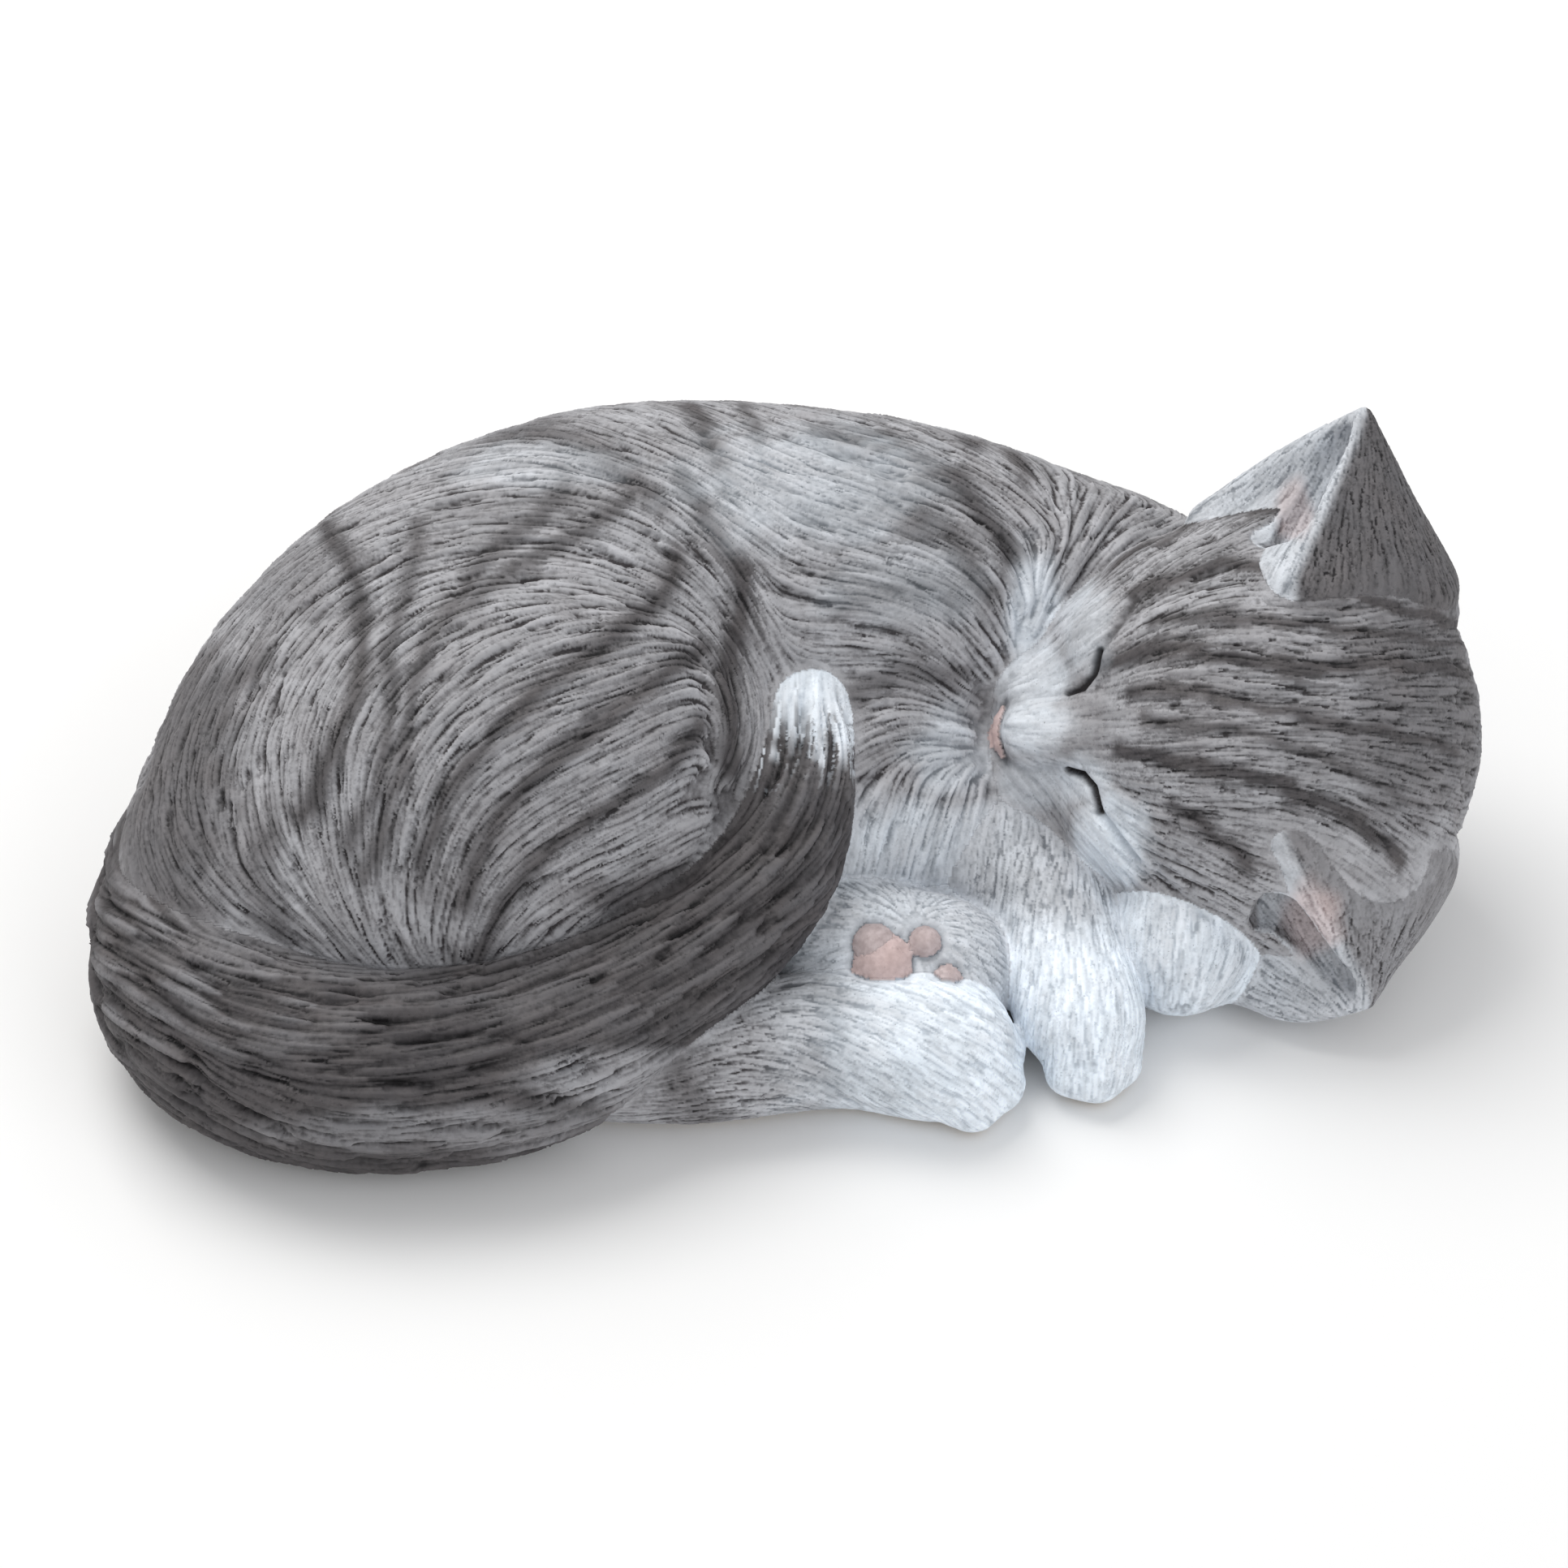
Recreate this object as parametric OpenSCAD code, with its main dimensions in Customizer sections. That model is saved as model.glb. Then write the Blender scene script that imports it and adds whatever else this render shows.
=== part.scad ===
/* Curled sleeping cat figurine: hollow slip castings luted together before firing, a closing slab and
   felt pads. Every sub-part is trimmed face to face against the ones it is luted to. */

/* [Overall] */
// Length of the figurine from rump to crown
length = 300; // [245:5:355]
// Wall of the hollow castings
wall = 5; // [4:0.5:7]

/* [Features] */
// Size of the ears against the head
ear_size = 1; // [0.9:0.05:1.15]
// Thickness of the tail against the body
tail_girth = 1; // [0.95:0.05:1.1]

/* [Base] */
// Thickness of the slab that closes the body from below
slab_thick = 5; // [4:0.5:7]
// Diameter of the vent hole in the slab
vent_d = 10; // [6:1:16]
// Diameter of the felt pads
pad_d = 18; // [12:1:20]
// Thickness of the felt pads
pad_thick = 1; // [1:0.5:2]

/* [Hidden] */
facets = 26;
toe_facets = 16;
// the beads below make a figurine this long
drawn_length = 300;
k = length / drawn_length;
w = wall / k;
slab = slab_thick / k;
foot = pad_thick / k;
fur_grey = [0.45, 0.42, 0.41];
fur_dark = [0.30, 0.28, 0.28];
fur_white = [0.82, 0.85, 0.88];
skin_pink = [0.86, 0.60, 0.54];
biscuit = [0.80, 0.74, 0.66];
felt = [0.16, 0.16, 0.17];

// beads of clay: x, y, z, radius
torso = [[-116, -24, 30, 29], [-95, 4, 38, 37], [-83, 17, 42, 43], [-64, 29, 44, 48], [-35, 42, 46, 48.5],
         [0, 49, 45, 44.5], [30, 53, 41.5, 39.5], [60, 57, 36, 31], [82, 55, 34, 26]];
belly = [[-50, 8, 30, 40], [5, 10, 27, 32], [34, 16, 20, 22], [58, 24, 18, 18], [90, 26, 18, 18]];
haunch = [[-100, -16, 34, 33], [-70, -6, 42, 46], [-46, 2, 44, 45]];
tail_run = [[-120, -16, 28, 26], [-125, -38, 24, 22.5], [-117, -54, 22, 21], [-97, -64, 21, 20],
            [-72, -65, 21, 19.5], [-50, -60, 24, 18.5], [-30, -49, 29, 16.5], [-15, -38, 34.5, 15],
            [-4, -24, 41, 13.8], [1, -10, 47, 13], [3, 4, 52, 12.5], [2, 14.4, 55.2, 11.5]];
// the tail is hollow along this many of its steps, from its root
hollow_tail = 5;
hind_foot = [[-60, -53, 16, 15.5], [-20, -56, 14, 13.6], [10, -51, 14, 13.8], [29, -53, 14, 14.4],
             [35, -53.5, 13.5, 14]];
hind_toes = [[40, -63, 7, 6.5], [44.5, -58, 7.5, 6.8], [44.5, -50.5, 9, 7], [40, -44.5, 11, 6.5]];
sole_foot = [[0, -20, 17, 15], [16, -30, 18, 15.5], [31, -33.5, 16.5, 15], [34, -33.5, 15.5, 14.5]];
near_leg = [[20, 10, 22, 21], [42, 2, 18, 16.5], [58.5, -19, 16.5, 14.5], [62, -36, 14.5, 12.8],
            [65, -45, 13, 12]];
near_toes = [[62, -54, 6.5, 5.5], [67, -55, 6.5, 6], [71, -51, 6.5, 6], [72, -45, 7, 5.5]];
far_leg = [[99, 23, 16, 14], [89, -7, 16, 14.5], [86, -25.5, 16.5, 15.5]];

// the head lies rolled over, forehead up and forward
head_at = [105.5, 8.5, 47.5];
head_roll = 45;
head_pitch = 6;
crown_height = 0.86;
skull = [-2.5, 0, 0, 43.5];
ear_swell = [-15, 27, 1, 22.5];
cheek = [[17, 20, -9, 23], [4, 16, -4, 28]];
eyelid = [33, 17, 3, 10];
bridge = [[11, 0, -3, 32], [34, 0, 5, 9], [51, 0, -3.5, 7.8]];
whisker_pad = [[35, 17, -11, 12.5], [42, 9, -9, 10], [49, 8, -11.5, 10]];
chin = [[36, 0, -18, 13], [47, 0, -21, 8]];
// corners of the ear: medial, lateral, back; the tips of the near and the far ear
ear_root = [[-2, 27, 27], [12, 46, -6], [-34, 35, 2]];
ear_tips = [[-19, 58, 13], [-18, 68, 15]];
ear_hollows = [[[7, 44, 5, 6.5], [1.5, 31.5, 20.5, 5.5], [-3.5, 39.5, 17, 6.2], [-9.5, 48, 14.5, 4.6],
                [-15, 53.8, 13.5, 2.6]],
               [[6, 47, 6, 7], [-0.2, 38.2, 20, 5.5], [-4, 47.2, 17.3, 6.2], [-9, 55.9, 15.4, 4.8],
                [-14.5, 63.3, 14.4, 2.6]]];
ear_edge = 2.6;
ear_point = 2.2;
nose_beads = [[55, 6.4, -5.2, 2.4], [58.4, 2.6, -5.4, 2.6], [57.4, 0, -8.6, 3]];
// the passage between the body's cavity and the head's
neck_ends = [[88, 16, 44, 6], [52, 40, 40, 6]];

// how wide the underside is against each bead, and how far its cavity stays inside that
foot_spread = 0.72;
cavity_inset = 15;
// the closing slab: x, y, radius of its two ends
slab_ends = [[-74, 8, 25], [34, 36, 17]];
slab_gap = 0.3;
slab_ledge = 4;
vent_at = [-20, 22];
tail_vent_at = [-97, -64];
tail_vent_d = 6;
// a pad stands this high out of the sole, which faces up and forward
pad_rise = 2.6;
sole_tilt = 45;
// nothing of the figurine reaches further than this
far_off = 250;

module bead(b, grow = 0, fn = facets) translate([b[0], b[1], b[2]]) sphere(r = b[3] + grow, $fn = fn);
module chain(beads, grow = 0, fn = facets)
    for (i = [0 : len(beads) - 2])
        hull() {
            bead(beads[i], grow, fn);
            bead(beads[i + 1], grow, fn);
        }
// a chain that runs down to a broad flat underside
module footed(beads, grow = 0, level = foot, inset = 0)
    for (i = [0 : len(beads) - 2])
        hull()
            for (b = [beads[i], beads[i + 1]]) {
                bead(b, grow);
                translate([b[0], b[1], level])
                    cylinder(h = 1, r = max(2, b[3] * foot_spread - inset), $fn = facets);
            }
// everything under a level, to cut away
module below(level) translate([-far_off, -far_off, level - far_off]) cube([2 * far_off, 2 * far_off, far_off]);
// the head's own axes: forward to the nose, sideways to the near ear, up through the forehead
module in_head()
    translate(head_at) rotate([head_roll, 0, 0]) rotate([0, 0, 180]) rotate([0, -head_pitch, 0])
        children();
module both_sides() {
    children();
    mirror([0, 1, 0]) children();
}

module body_form(grow = 0) {
    footed(torso, grow);
    footed(belly, grow);
    footed(haunch, grow);
}
module head_form(grow = 0) in_head() {
    scale([1, 1, crown_height]) bead(skull, grow);
    both_sides() {
        bead(ear_swell, grow);
        chain(cheek, grow);
        bead(eyelid, grow, 18);
        chain(whisker_pad, grow, 20);
    }
    chain(bridge, grow);
    chain(chin, grow, 20);
}
module ear_cups() in_head() {
    chain(ear_hollows[0], 0, 14);
    mirror([0, 1, 0]) chain(ear_hollows[1], 0, 14);
}
module tail_form(grow = 0) for (i = [0 : len(tail_run) - 2])
    hull() for (b = [tail_run[i], tail_run[i + 1]])
        translate([b[0], b[1], b[2]]) sphere(r = b[3] * tail_girth + grow, $fn = facets);
module near_hind_form() {
    chain(hind_foot);
    for (b = hind_toes) bead(b, 0, toe_facets);
}
module far_hind_form() chain(sole_foot);
module near_fore_form() {
    chain(near_leg);
    for (b = near_toes) bead(b, 0, toe_facets);
}
module far_fore_form() chain(far_leg);
module slab_outline(grow) hull()
    for (end = slab_ends) translate([end[0], end[1]]) circle(r = end[2] + grow, $fn = 72);
module neck_passage() chain(neck_ends, 0, 16);

module body_shell() color(fur_grey) difference() {
    body_form();
    below(foot);
    head_form();
    difference() {
        union() {
            footed(torso, -w, foot + slab, cavity_inset);
            footed(haunch, -w, foot + slab, cavity_inset);
            footed(belly, -w, foot + slab, cavity_inset);
        }
        below(foot + slab);
        head_form(w);
    }
    translate([0, 0, foot - 1]) linear_extrude(height = slab + 1) slab_outline(slab_gap);
    translate([0, 0, foot + slab - 1]) linear_extrude(height = 8) slab_outline(-slab_ledge);
    neck_passage();
}
module base_slab() color(biscuit) difference() {
    translate([0, 0, foot]) linear_extrude(height = slab) slab_outline(0);
    translate([vent_at[0], vent_at[1], foot - 1]) cylinder(h = slab + 2, d = vent_d / k);
}
module head_shell() color(fur_grey) difference() {
    head_form();
    below(foot);
    ear_cups();
    in_head() scale([1, 1, crown_height]) bead(skull, -w * 1.3);
    neck_passage();
}
module ear(side) color(fur_grey) difference() {
    tip = side > 0 ? ear_tips[0] : ear_tips[1];
    in_head() scale([1, side, 1]) hull() {
        for (p = ear_root) translate(p) sphere(r = ear_edge, $fn = 14);
        translate(ear_root[0] + (tip - ear_root[0]) * ear_size) sphere(r = ear_point, $fn = 14);
    }
    head_form();
    ear_cups();
    body_form();
    far_fore_form();
    below(foot);
}
module nose_leather() color(skin_pink) difference() {
    in_head() hull() both_sides() for (b = nose_beads) bead(b, 0, 16);
    head_form();
    body_form();
}
module tail() color(fur_dark) difference() {
    tail_form();
    below(foot);
    body_form();
    difference() {
        for (i = [0 : hollow_tail - 1])
            hull() for (b = [tail_run[i], tail_run[i + 1]])
                translate([b[0], b[1], b[2]]) sphere(r = b[3] * tail_girth - w - 1, $fn = 16);
        body_form(w);
    }
    translate([tail_vent_at[0], tail_vent_at[1], foot - 1]) cylinder(h = 16, d = tail_vent_d, $fn = 16);
}
module near_hind_foot() color(fur_white) difference() {
    near_hind_form();
    below(foot);
    body_form();
    tail_form();
}
module far_hind_foot() color(fur_white) difference() {
    far_hind_form();
    below(foot);
    body_form();
    tail_form();
    near_hind_form();
}
module pad_on_sole(at, size) color(skin_pink) difference() {
    translate(at) rotate([sole_tilt, 0, 0]) scale([size[0], size[1], pad_rise]) sphere(r = 1, $fn = 20);
    far_hind_form();
    near_hind_form();
    tail_form();
}
module near_foreleg() color(fur_white) difference() {
    near_fore_form();
    below(foot);
    body_form();
    head_form();
    tail_form();
    far_hind_form();
    near_hind_form();
}
module far_foreleg() color(fur_white) difference() {
    far_fore_form();
    below(foot);
    body_form();
    head_form();
    near_fore_form();
}
module felt_pad(x, y) color(felt) translate([x, y, 0]) cylinder(h = foot, d = pad_d / k);

// puts the middle of the underside on the origin
module fit() scale([k, k, k]) translate([-1.9, -4.4, 0]) children();
fit() body_shell();
fit() base_slab();
fit() head_shell();
fit() ear(1);  // near_ear
fit() ear(-1);  // far_ear
fit() nose_leather();
fit() tail();
fit() near_hind_foot();
fit() far_hind_foot();
fit() pad_on_sole([21, -42.7, 27.5], [6.3, 5]);  // sole_pad
fit() pad_on_sole([19.2, -39.1, 30.7], [4.6, 4]);  // toe_pad_inner
fit() pad_on_sole([30.2, -38.2, 30.8], [3.6, 3.6]);  // toe_pad_middle
fit() pad_on_sole([35, -44.3, 25.2], [3.1, 3.1]);  // toe_pad_outer
fit() near_foreleg();
fit() far_foreleg();
fit() felt_pad(-106, -18);  // felt_pad_rump
fit() felt_pad(-62, -28);  // felt_pad_thigh
fit() felt_pad(-30, 64);  // felt_pad_flank
fit() felt_pad(66, 52);  // felt_pad_chest
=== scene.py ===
import math

import bpy
import numpy as np
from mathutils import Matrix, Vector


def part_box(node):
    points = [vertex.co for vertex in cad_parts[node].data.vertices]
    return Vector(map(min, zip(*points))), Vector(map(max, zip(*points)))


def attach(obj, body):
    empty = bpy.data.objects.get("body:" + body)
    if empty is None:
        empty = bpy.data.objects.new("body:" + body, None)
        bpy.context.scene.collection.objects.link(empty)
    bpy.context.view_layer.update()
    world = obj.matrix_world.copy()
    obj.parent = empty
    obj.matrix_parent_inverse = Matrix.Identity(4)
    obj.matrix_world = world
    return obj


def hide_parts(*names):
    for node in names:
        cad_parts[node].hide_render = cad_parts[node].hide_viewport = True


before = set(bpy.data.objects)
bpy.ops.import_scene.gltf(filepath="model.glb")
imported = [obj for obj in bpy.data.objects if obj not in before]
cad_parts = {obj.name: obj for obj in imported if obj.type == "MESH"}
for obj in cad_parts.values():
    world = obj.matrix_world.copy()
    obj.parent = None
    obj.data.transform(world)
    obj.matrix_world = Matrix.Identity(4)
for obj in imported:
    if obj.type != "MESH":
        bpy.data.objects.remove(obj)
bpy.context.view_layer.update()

import openvdb
from mathutils import Vector

# ----------------------------------------------------------------------------------------------
# The sculpture is modelled in millimetres in the clay frame: the CAD frame before it was centred.
# ----------------------------------------------------------------------------------------------
MM = 0.001
VOXEL = 0.9
# the distance given where none is kept, and how far a form's window reaches round it, in mm
FAR = 30.0
MARGIN = 12.0

# beads of clay: x, y, z, radius
TORSO = [(-116, -24, 30, 29), (-97, 3, 38, 38.5), (-83, 17, 42, 43), (-64, 29, 44, 48), (-35, 42, 46, 48.5),
         (0, 49, 45, 44.5), (30, 53, 41.5, 39.5), (60, 57, 36, 31), (82, 55, 34, 26)]
BELLY = [(-50, 8, 30, 40), (5, 10, 27, 32), (34, 16, 20, 22), (58, 24, 18, 18), (90, 26, 18, 18)]
HAUNCH = [(-100, -16, 34, 33), (-70, -6, 42, 46), (-46, 2, 44, 45)]
TAIL = [(-120, -16, 28, 26), (-125, -38, 24, 22.5), (-117, -54, 22, 21), (-97, -64, 21, 20),
        (-72, -65, 21, 19.5), (-50, -60, 24, 18.5), (-30, -49, 29, 16.5), (-15, -38, 34.5, 15),
        (-4, -24, 41, 13.8), (1, -10, 47, 13), (3, 4, 52, 12.5), (2, 14.4, 55.2, 11.5)]
NEAR_HIND = [(-60, -53, 16, 15.5), (-20, -56, 14, 13.6), (10, -51, 14, 13.8), (29, -53, 14, 14.4),
             (35, -53.5, 13.5, 14)]
HIND_TOES = [(40, -63, 7, 6.5), (44.5, -58, 7.5, 6.8), (44.5, -50.5, 9, 7), (40, -44.5, 11, 6.5)]
FAR_HIND = [(0, -20, 17, 15), (16, -30, 18, 15.5), (31, -33.5, 16.5, 15), (34, -33.5, 15.5, 14.5)]
NEAR_FORE = [(20, 10, 22, 21), (42, 2, 18, 16.5), (58.5, -19, 16.5, 14.5), (62, -36, 14.5, 12.8),
             (65, -45, 13, 12)]
FORE_TOES = [(62, -54, 6.5, 5.5), (67, -55, 6.5, 6), (71, -51, 6.5, 6), (72, -45, 7, 5.5)]
FAR_FORE = [(99, 23, 16, 14), (89, -7, 16, 14.5), (86, -25.5, 16.5, 15.5)]
# pads on the sole, seen from the front: x, rise, visible radius, height
PADS = {"sole_pad": (22, -35.5, 6.3, 3.1), "toe_pad_inner": (20, -28.5, 4.6, 2.7),
        "toe_pad_middle": (31.5, -27.5, 3.6, 2.4), "toe_pad_outer": (36.5, -39.5, 3.1, 2.1)}

# the head's own axes: forward to the nose, sideways to the near ear, up through the forehead
HEAD_AT = np.array([105.5, 8.5, 47.5])
HEAD_ROLL = math.radians(45)
HEAD_PITCH = math.radians(6)
# the front view: from 45 degrees above, square to the picture plane, from this far in mm
VIEW_BACK = 1100.0
VIEW_AT = 22 / math.sqrt(2)
# a place on the sight line is looked for from this near, in strides, until this close to the form
SIGHT_FROM, SIGHT_STEPS, SIGHT_STRIDE, SIGHT_CLOSE = 70.0, 60, 4.0, 0.02
UNDERSIDE = 1.0
# the recess for the closing slab: two ends (x, y, z, radius) and its top
SLAB_ENDS = [(-74, 8, 0, 25.3), (34, 36, 0, 17.3)]
SLAB_TOP = 6.0
# how wide the body's underside is against each bead
FOOTING = 0.72

tail_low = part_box("tail")[0]
SHIFT = np.array([tail_low.x / MM + 147.5, tail_low.y / MM + 84.4, 0.0])


# ---------------------------------------------------------------- signed distances on a grid
LOW = np.array([-160.0, -98.0, -6.0])
HIGH = np.array([166.0, 110.0, 116.0])
COUNT = np.ceil((HIGH - LOW) / VOXEL).astype(int)


class Field:
    """Signed distance to one form, kept only in the window of the grid around it."""

    def __init__(self, low, high):
        self.start = np.maximum(np.floor((np.array(low) - MARGIN - LOW) / VOXEL).astype(int), 0)
        self.stop = np.minimum(np.ceil((np.array(high) + MARGIN - LOW) / VOXEL).astype(int), COUNT)
        self.d = np.full(self.stop - self.start, FAR, np.float32)

    def window(self, low, high):
        a = np.maximum(np.floor((np.array(low) - LOW) / VOXEL).astype(int), self.start)
        b = np.minimum(np.ceil((np.array(high) - LOW) / VOXEL).astype(int) + 1, self.stop)
        b = np.maximum(a, b)
        cut = slices(a, b, self.start)
        axes = [(LOW[i] + VOXEL * np.arange(a[i], b[i])).astype(np.float32) for i in range(3)]
        return cut, (axes[0][:, None, None], axes[1][None, :, None], axes[2][None, None, :])

    def sample(self, points):
        """Trilinear value at points in mm; FAR outside the window."""
        q = (points - LOW) / VOXEL - self.start
        size = np.array(self.d.shape)
        ok = np.all((q >= 0) & (q < size - 1.001), axis=1)
        out = np.full(len(points), FAR, np.float32)
        q = q[ok]
        i = q.astype(int)
        f = (q - i).astype(np.float32)
        total = np.zeros(len(q), np.float32)
        for corner in range(8):
            step = np.array([corner & 1, corner >> 1 & 1, corner >> 2 & 1])
            weight = np.prod(np.where(step, f, 1 - f), axis=1)
            j = i + step
            total += weight * self.d[j[:, 0], j[:, 1], j[:, 2]]
        out[ok] = total
        return out


def unit(v):
    return v / np.maximum(np.linalg.norm(v, axis=-1, keepdims=True), 1e-9)


def smooth_min(a, b, blend):
    """The union of two forms with a fillet about blend mm wide."""
    h = np.maximum(blend - np.abs(a - b), 0) / blend
    return np.minimum(a, b) - h * h * blend * 0.25


def round_cone(space, a, b):
    """Distance to the hull of two balls (x, y, z, radius)."""
    a, b = np.array(a, float), np.array(b, float)
    ab, ra, rb = b[:3] - a[:3], a[3], b[3]
    px, py, pz = space[0] - a[0], space[1] - a[1], space[2] - a[2]
    span = float(ab @ ab)
    if span < (ra - rb) ** 2 + 1e-6:
        big = a if ra >= rb else b
        return ball(space, big)
    slope = ra - rb
    flat = span - slope * slope
    y = px * ab[0] + py * ab[1] + pz * ab[2]
    z = y - span
    x2 = (px * span - ab[0] * y) ** 2 + (py * span - ab[1] * y) ** 2 + (pz * span - ab[2] * y) ** 2
    y2, z2 = y * y * span, z * z * span
    k = np.sign(slope) * slope * slope * x2
    side = (np.sqrt(x2 * flat / span) + y * slope) / span - ra
    far_end = np.sqrt(x2 + z2) / span - rb
    near_end = np.sqrt(x2 + y2) / span - ra
    return np.where(np.sign(z) * flat * z2 > k, far_end,
                    np.where(np.sign(y) * flat * y2 < k, near_end, side)).astype(np.float32)


def ball(space, b):
    return np.sqrt((space[0] - b[0]) ** 2 + (space[1] - b[1]) ** 2 + (space[2] - b[2]) ** 2) - b[3]


def eased(beads, steps):
    """The beads with steps - 1 more between each pair, on a Catmull-Rom curve."""
    p = np.array(beads, float)
    p = np.vstack([2 * p[0] - p[1], p, 2 * p[-1] - p[-2]])
    out = []
    for i in range(1, len(p) - 2):
        for t in np.arange(steps) / steps:
            out.append(0.5 * (2 * p[i] + (p[i + 1] - p[i - 1]) * t
                              + (2 * p[i - 1] - 5 * p[i] + 4 * p[i + 1] - p[i + 2]) * t * t
                              + (3 * p[i] - p[i - 1] - 3 * p[i + 1] + p[i + 2]) * t ** 3))
    out.append(p[-2])
    return np.array(out)


def slices(start, stop, origin=(0, 0, 0)):
    """The part of a grid that starts at origin from one cell to another."""
    return tuple(slice(a - o, b - o) for a, b, o in zip(start, stop, origin))


def box_of(*runs):
    beads = np.vstack([np.array(r, float) for r in runs])
    return (beads[:, :3] - beads[:, 3:]).min(0), (beads[:, :3] + beads[:, 3:]).max(0)


def lay(field, beads, blend=2.0, steps=3, footing=0.0):
    """Adds a run of beads to a field; footing widens it towards the underside."""
    run = eased(beads, steps)
    for a, b in zip(run[:-1], run[1:]):
        low, high = box_of([a, b])
        if footing:
            low[2] = LOW[2]
        cut, space = field.window(low - MARGIN, high + MARGIN)
        d = round_cone(space, a, b)
        if footing:
            foot_a = (a[0], a[1], min(a[2], a[3] * 0.5), a[3] * footing)
            foot_b = (b[0], b[1], min(b[2], b[3] * 0.5), b[3] * footing)
            d = smooth_min(d, round_cone(space, foot_a, foot_b), 12.0)
        field.d[cut] = smooth_min(field.d[cut], d, blend)


def dab(field, beads, blend):
    for b in beads:
        low, high = box_of([b])
        cut, space = field.window(low - MARGIN, high + MARGIN)
        field.d[cut] = smooth_min(field.d[cut], ball(space, b), blend)


# ---------------------------------------------------------------- the head's frame
def rotation(axis, angle):
    c, s = math.cos(angle), math.sin(angle)
    return np.array({"x": [[1, 0, 0], [0, c, -s], [0, s, c]],
                     "y": [[c, 0, s], [0, 1, 0], [-s, 0, c]],
                     "z": [[c, -s, 0], [s, c, 0], [0, 0, 1]]}[axis])


HEAD_TURN = rotation("x", HEAD_ROLL) @ rotation("z", math.pi) @ rotation("y", -HEAD_PITCH)


def from_head(points):
    return np.asarray(points, float) @ HEAD_TURN.T + HEAD_AT


def to_head(points):
    return (np.asarray(points, float) - HEAD_AT) @ HEAD_TURN


def head_space(space):
    px, py, pz = (space[i] - HEAD_AT[i] for i in range(3))
    return [px * HEAD_TURN[0, i] + py * HEAD_TURN[1, i] + pz * HEAD_TURN[2, i] for i in range(3)]


def beads_from_head(beads, side=1):
    beads = np.array(beads, float) * [1, side, 1, 1]
    return np.hstack([from_head(beads[:, :3]), beads[:, 3:]])


# the skull, flattened upwards, and how far its field and its form reach
SKULL, SKULL_FLAT, SKULL_EVEN = (-2.5, 0, 0, 43.5), 0.86, 0.93
HEAD_FIELD, HEAD_REACH = 66, 70
# What swells on the skull, in the order it is laid: one or two balls (forward, sideways, up, radius)
# and the fillet in mm. A group that stands off the middle is laid on both sides.
SWELLINGS = [
    [([(11, 0, -3, 32)], 8)],                       # face
    [([(-15, 27, 1, 22.5)], 10),                    # root of the ear
     ([(17, 20, -9, 23), (4, 16, -4, 28)], 8),      # cheek
     ([(35, 17, -11, 12.5)], 7),                    # under the eye
     ([(33, 17, 3, 9.7)], 8)],                      # eyelid
    [([(36, 0, -18, 13), (47, 0, -21, 8)], 6)],     # chin
    [([(42, 9, -9, 10), (49, 8, -11.5, 10)], 5)],   # whisker pad
    [([(34, 0, 5, 9), (51, 0, -3.5, 7.8)], 5)],     # bridge of the nose
]
NOSE = [(54.9, -6.4, -5.0, 1.4), (58.2, -2.6, -5.0, 1.6), (58.2, 2.6, -5.0, 1.6), (54.9, 6.4, -5.0, 1.4),
        (56.9, 0, -8.4, 2.6)]


def head_form():
    field = Field(HEAD_AT - HEAD_FIELD, HEAD_AT + HEAD_FIELD)
    cut, space = field.window(HEAD_AT - HEAD_REACH, HEAD_AT + HEAD_REACH)
    q = head_space(space)
    d = ball([q[0], q[1], q[2] / SKULL_FLAT], SKULL) * SKULL_EVEN
    for group in SWELLINGS:
        off_middle = group[0][0][0][1] != 0
        for side in (1, -1) if off_middle else (1,):
            for balls, blend in group:
                ends = [(ahead, side * aside, up, radius) for ahead, aside, up, radius in balls]
                d = smooth_min(d, round_cone(q, *ends) if len(ends) > 1 else ball(q, *ends), blend)
    field.d[cut] = d
    return field


def nose_form():
    beads = beads_from_head(NOSE)
    field = Field(*box_of(beads))
    lay(field, beads[:4], 1.0, 2)
    dab(field, beads[4:], 2.0)
    return field


# ear: one sheet of clay bent into a cone, from a root that runs medial, back, lateral, to the tip
EAR_ROOT = {1: [(3, 23, 27), (-1, 22, 29), (-30, 26, 18), (-34, 35, 0), (-20, 45, -12), (2, 47, -13),
                (12, 45, -6)],
            -1: [(1, 33, 25), (-3, 31, 27.5), (-31, 29, 18), (-35, 37, 0), (-20, 46, -12), (2, 48, -13),
                 (12, 47, -6)]}
EAR_TIP = {1: (-19, 58, 13), -1: (-18, 68, 15)}
EAR_BULGE = {1: np.array([3.0, 8.0, 0.0]), -1: np.array([0.0, 1.5, 0.0])}
# how thick the sheet is at its root, how much of that it loses to the tip, how much its back draws in
EAR_THICK, EAR_THINS, EAR_NARROWS = 3.4, 1.6, 0.30
# from this share of the way round the root on, the sheet is the outer edge that bulges
EAR_OUTER = 0.6
# sheets from the outer one to the plane of the opening, and how far up each one goes
EAR_SHEETS = ((0.0, 1.0), (0.25, 0.94), (0.5, 0.88), (0.75, 0.8))
# the hollow of the ear, from its canal to its tip
EAR_SCOOP = {1: [(3, 39, 13, 4), (0.5, 34, 19, 4.8), (-3, 38.7, 16.1, 6.2), (-9.6, 47.3, 13.9, 4.5),
                 (-15.2, 53.6, 13.3, 2.5)],
             -1: [(6, 47, 15, 4.2), (-1.5, 42.5, 19, 5), (-4, 46.5, 16.5, 6.4), (-9.3, 55.4, 14.9, 4.8),
                  (-14.5, 63.3, 14.2, 2.6)]}
# the skin in and round the hollow counts as the ear's, so far beyond it
SCOOP_STEEP, SCOOP_CLAIM = 12, 10.0
# which side of the head each ear is on
EARS = {"near_ear": 1, "far_ear": -1}
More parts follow.
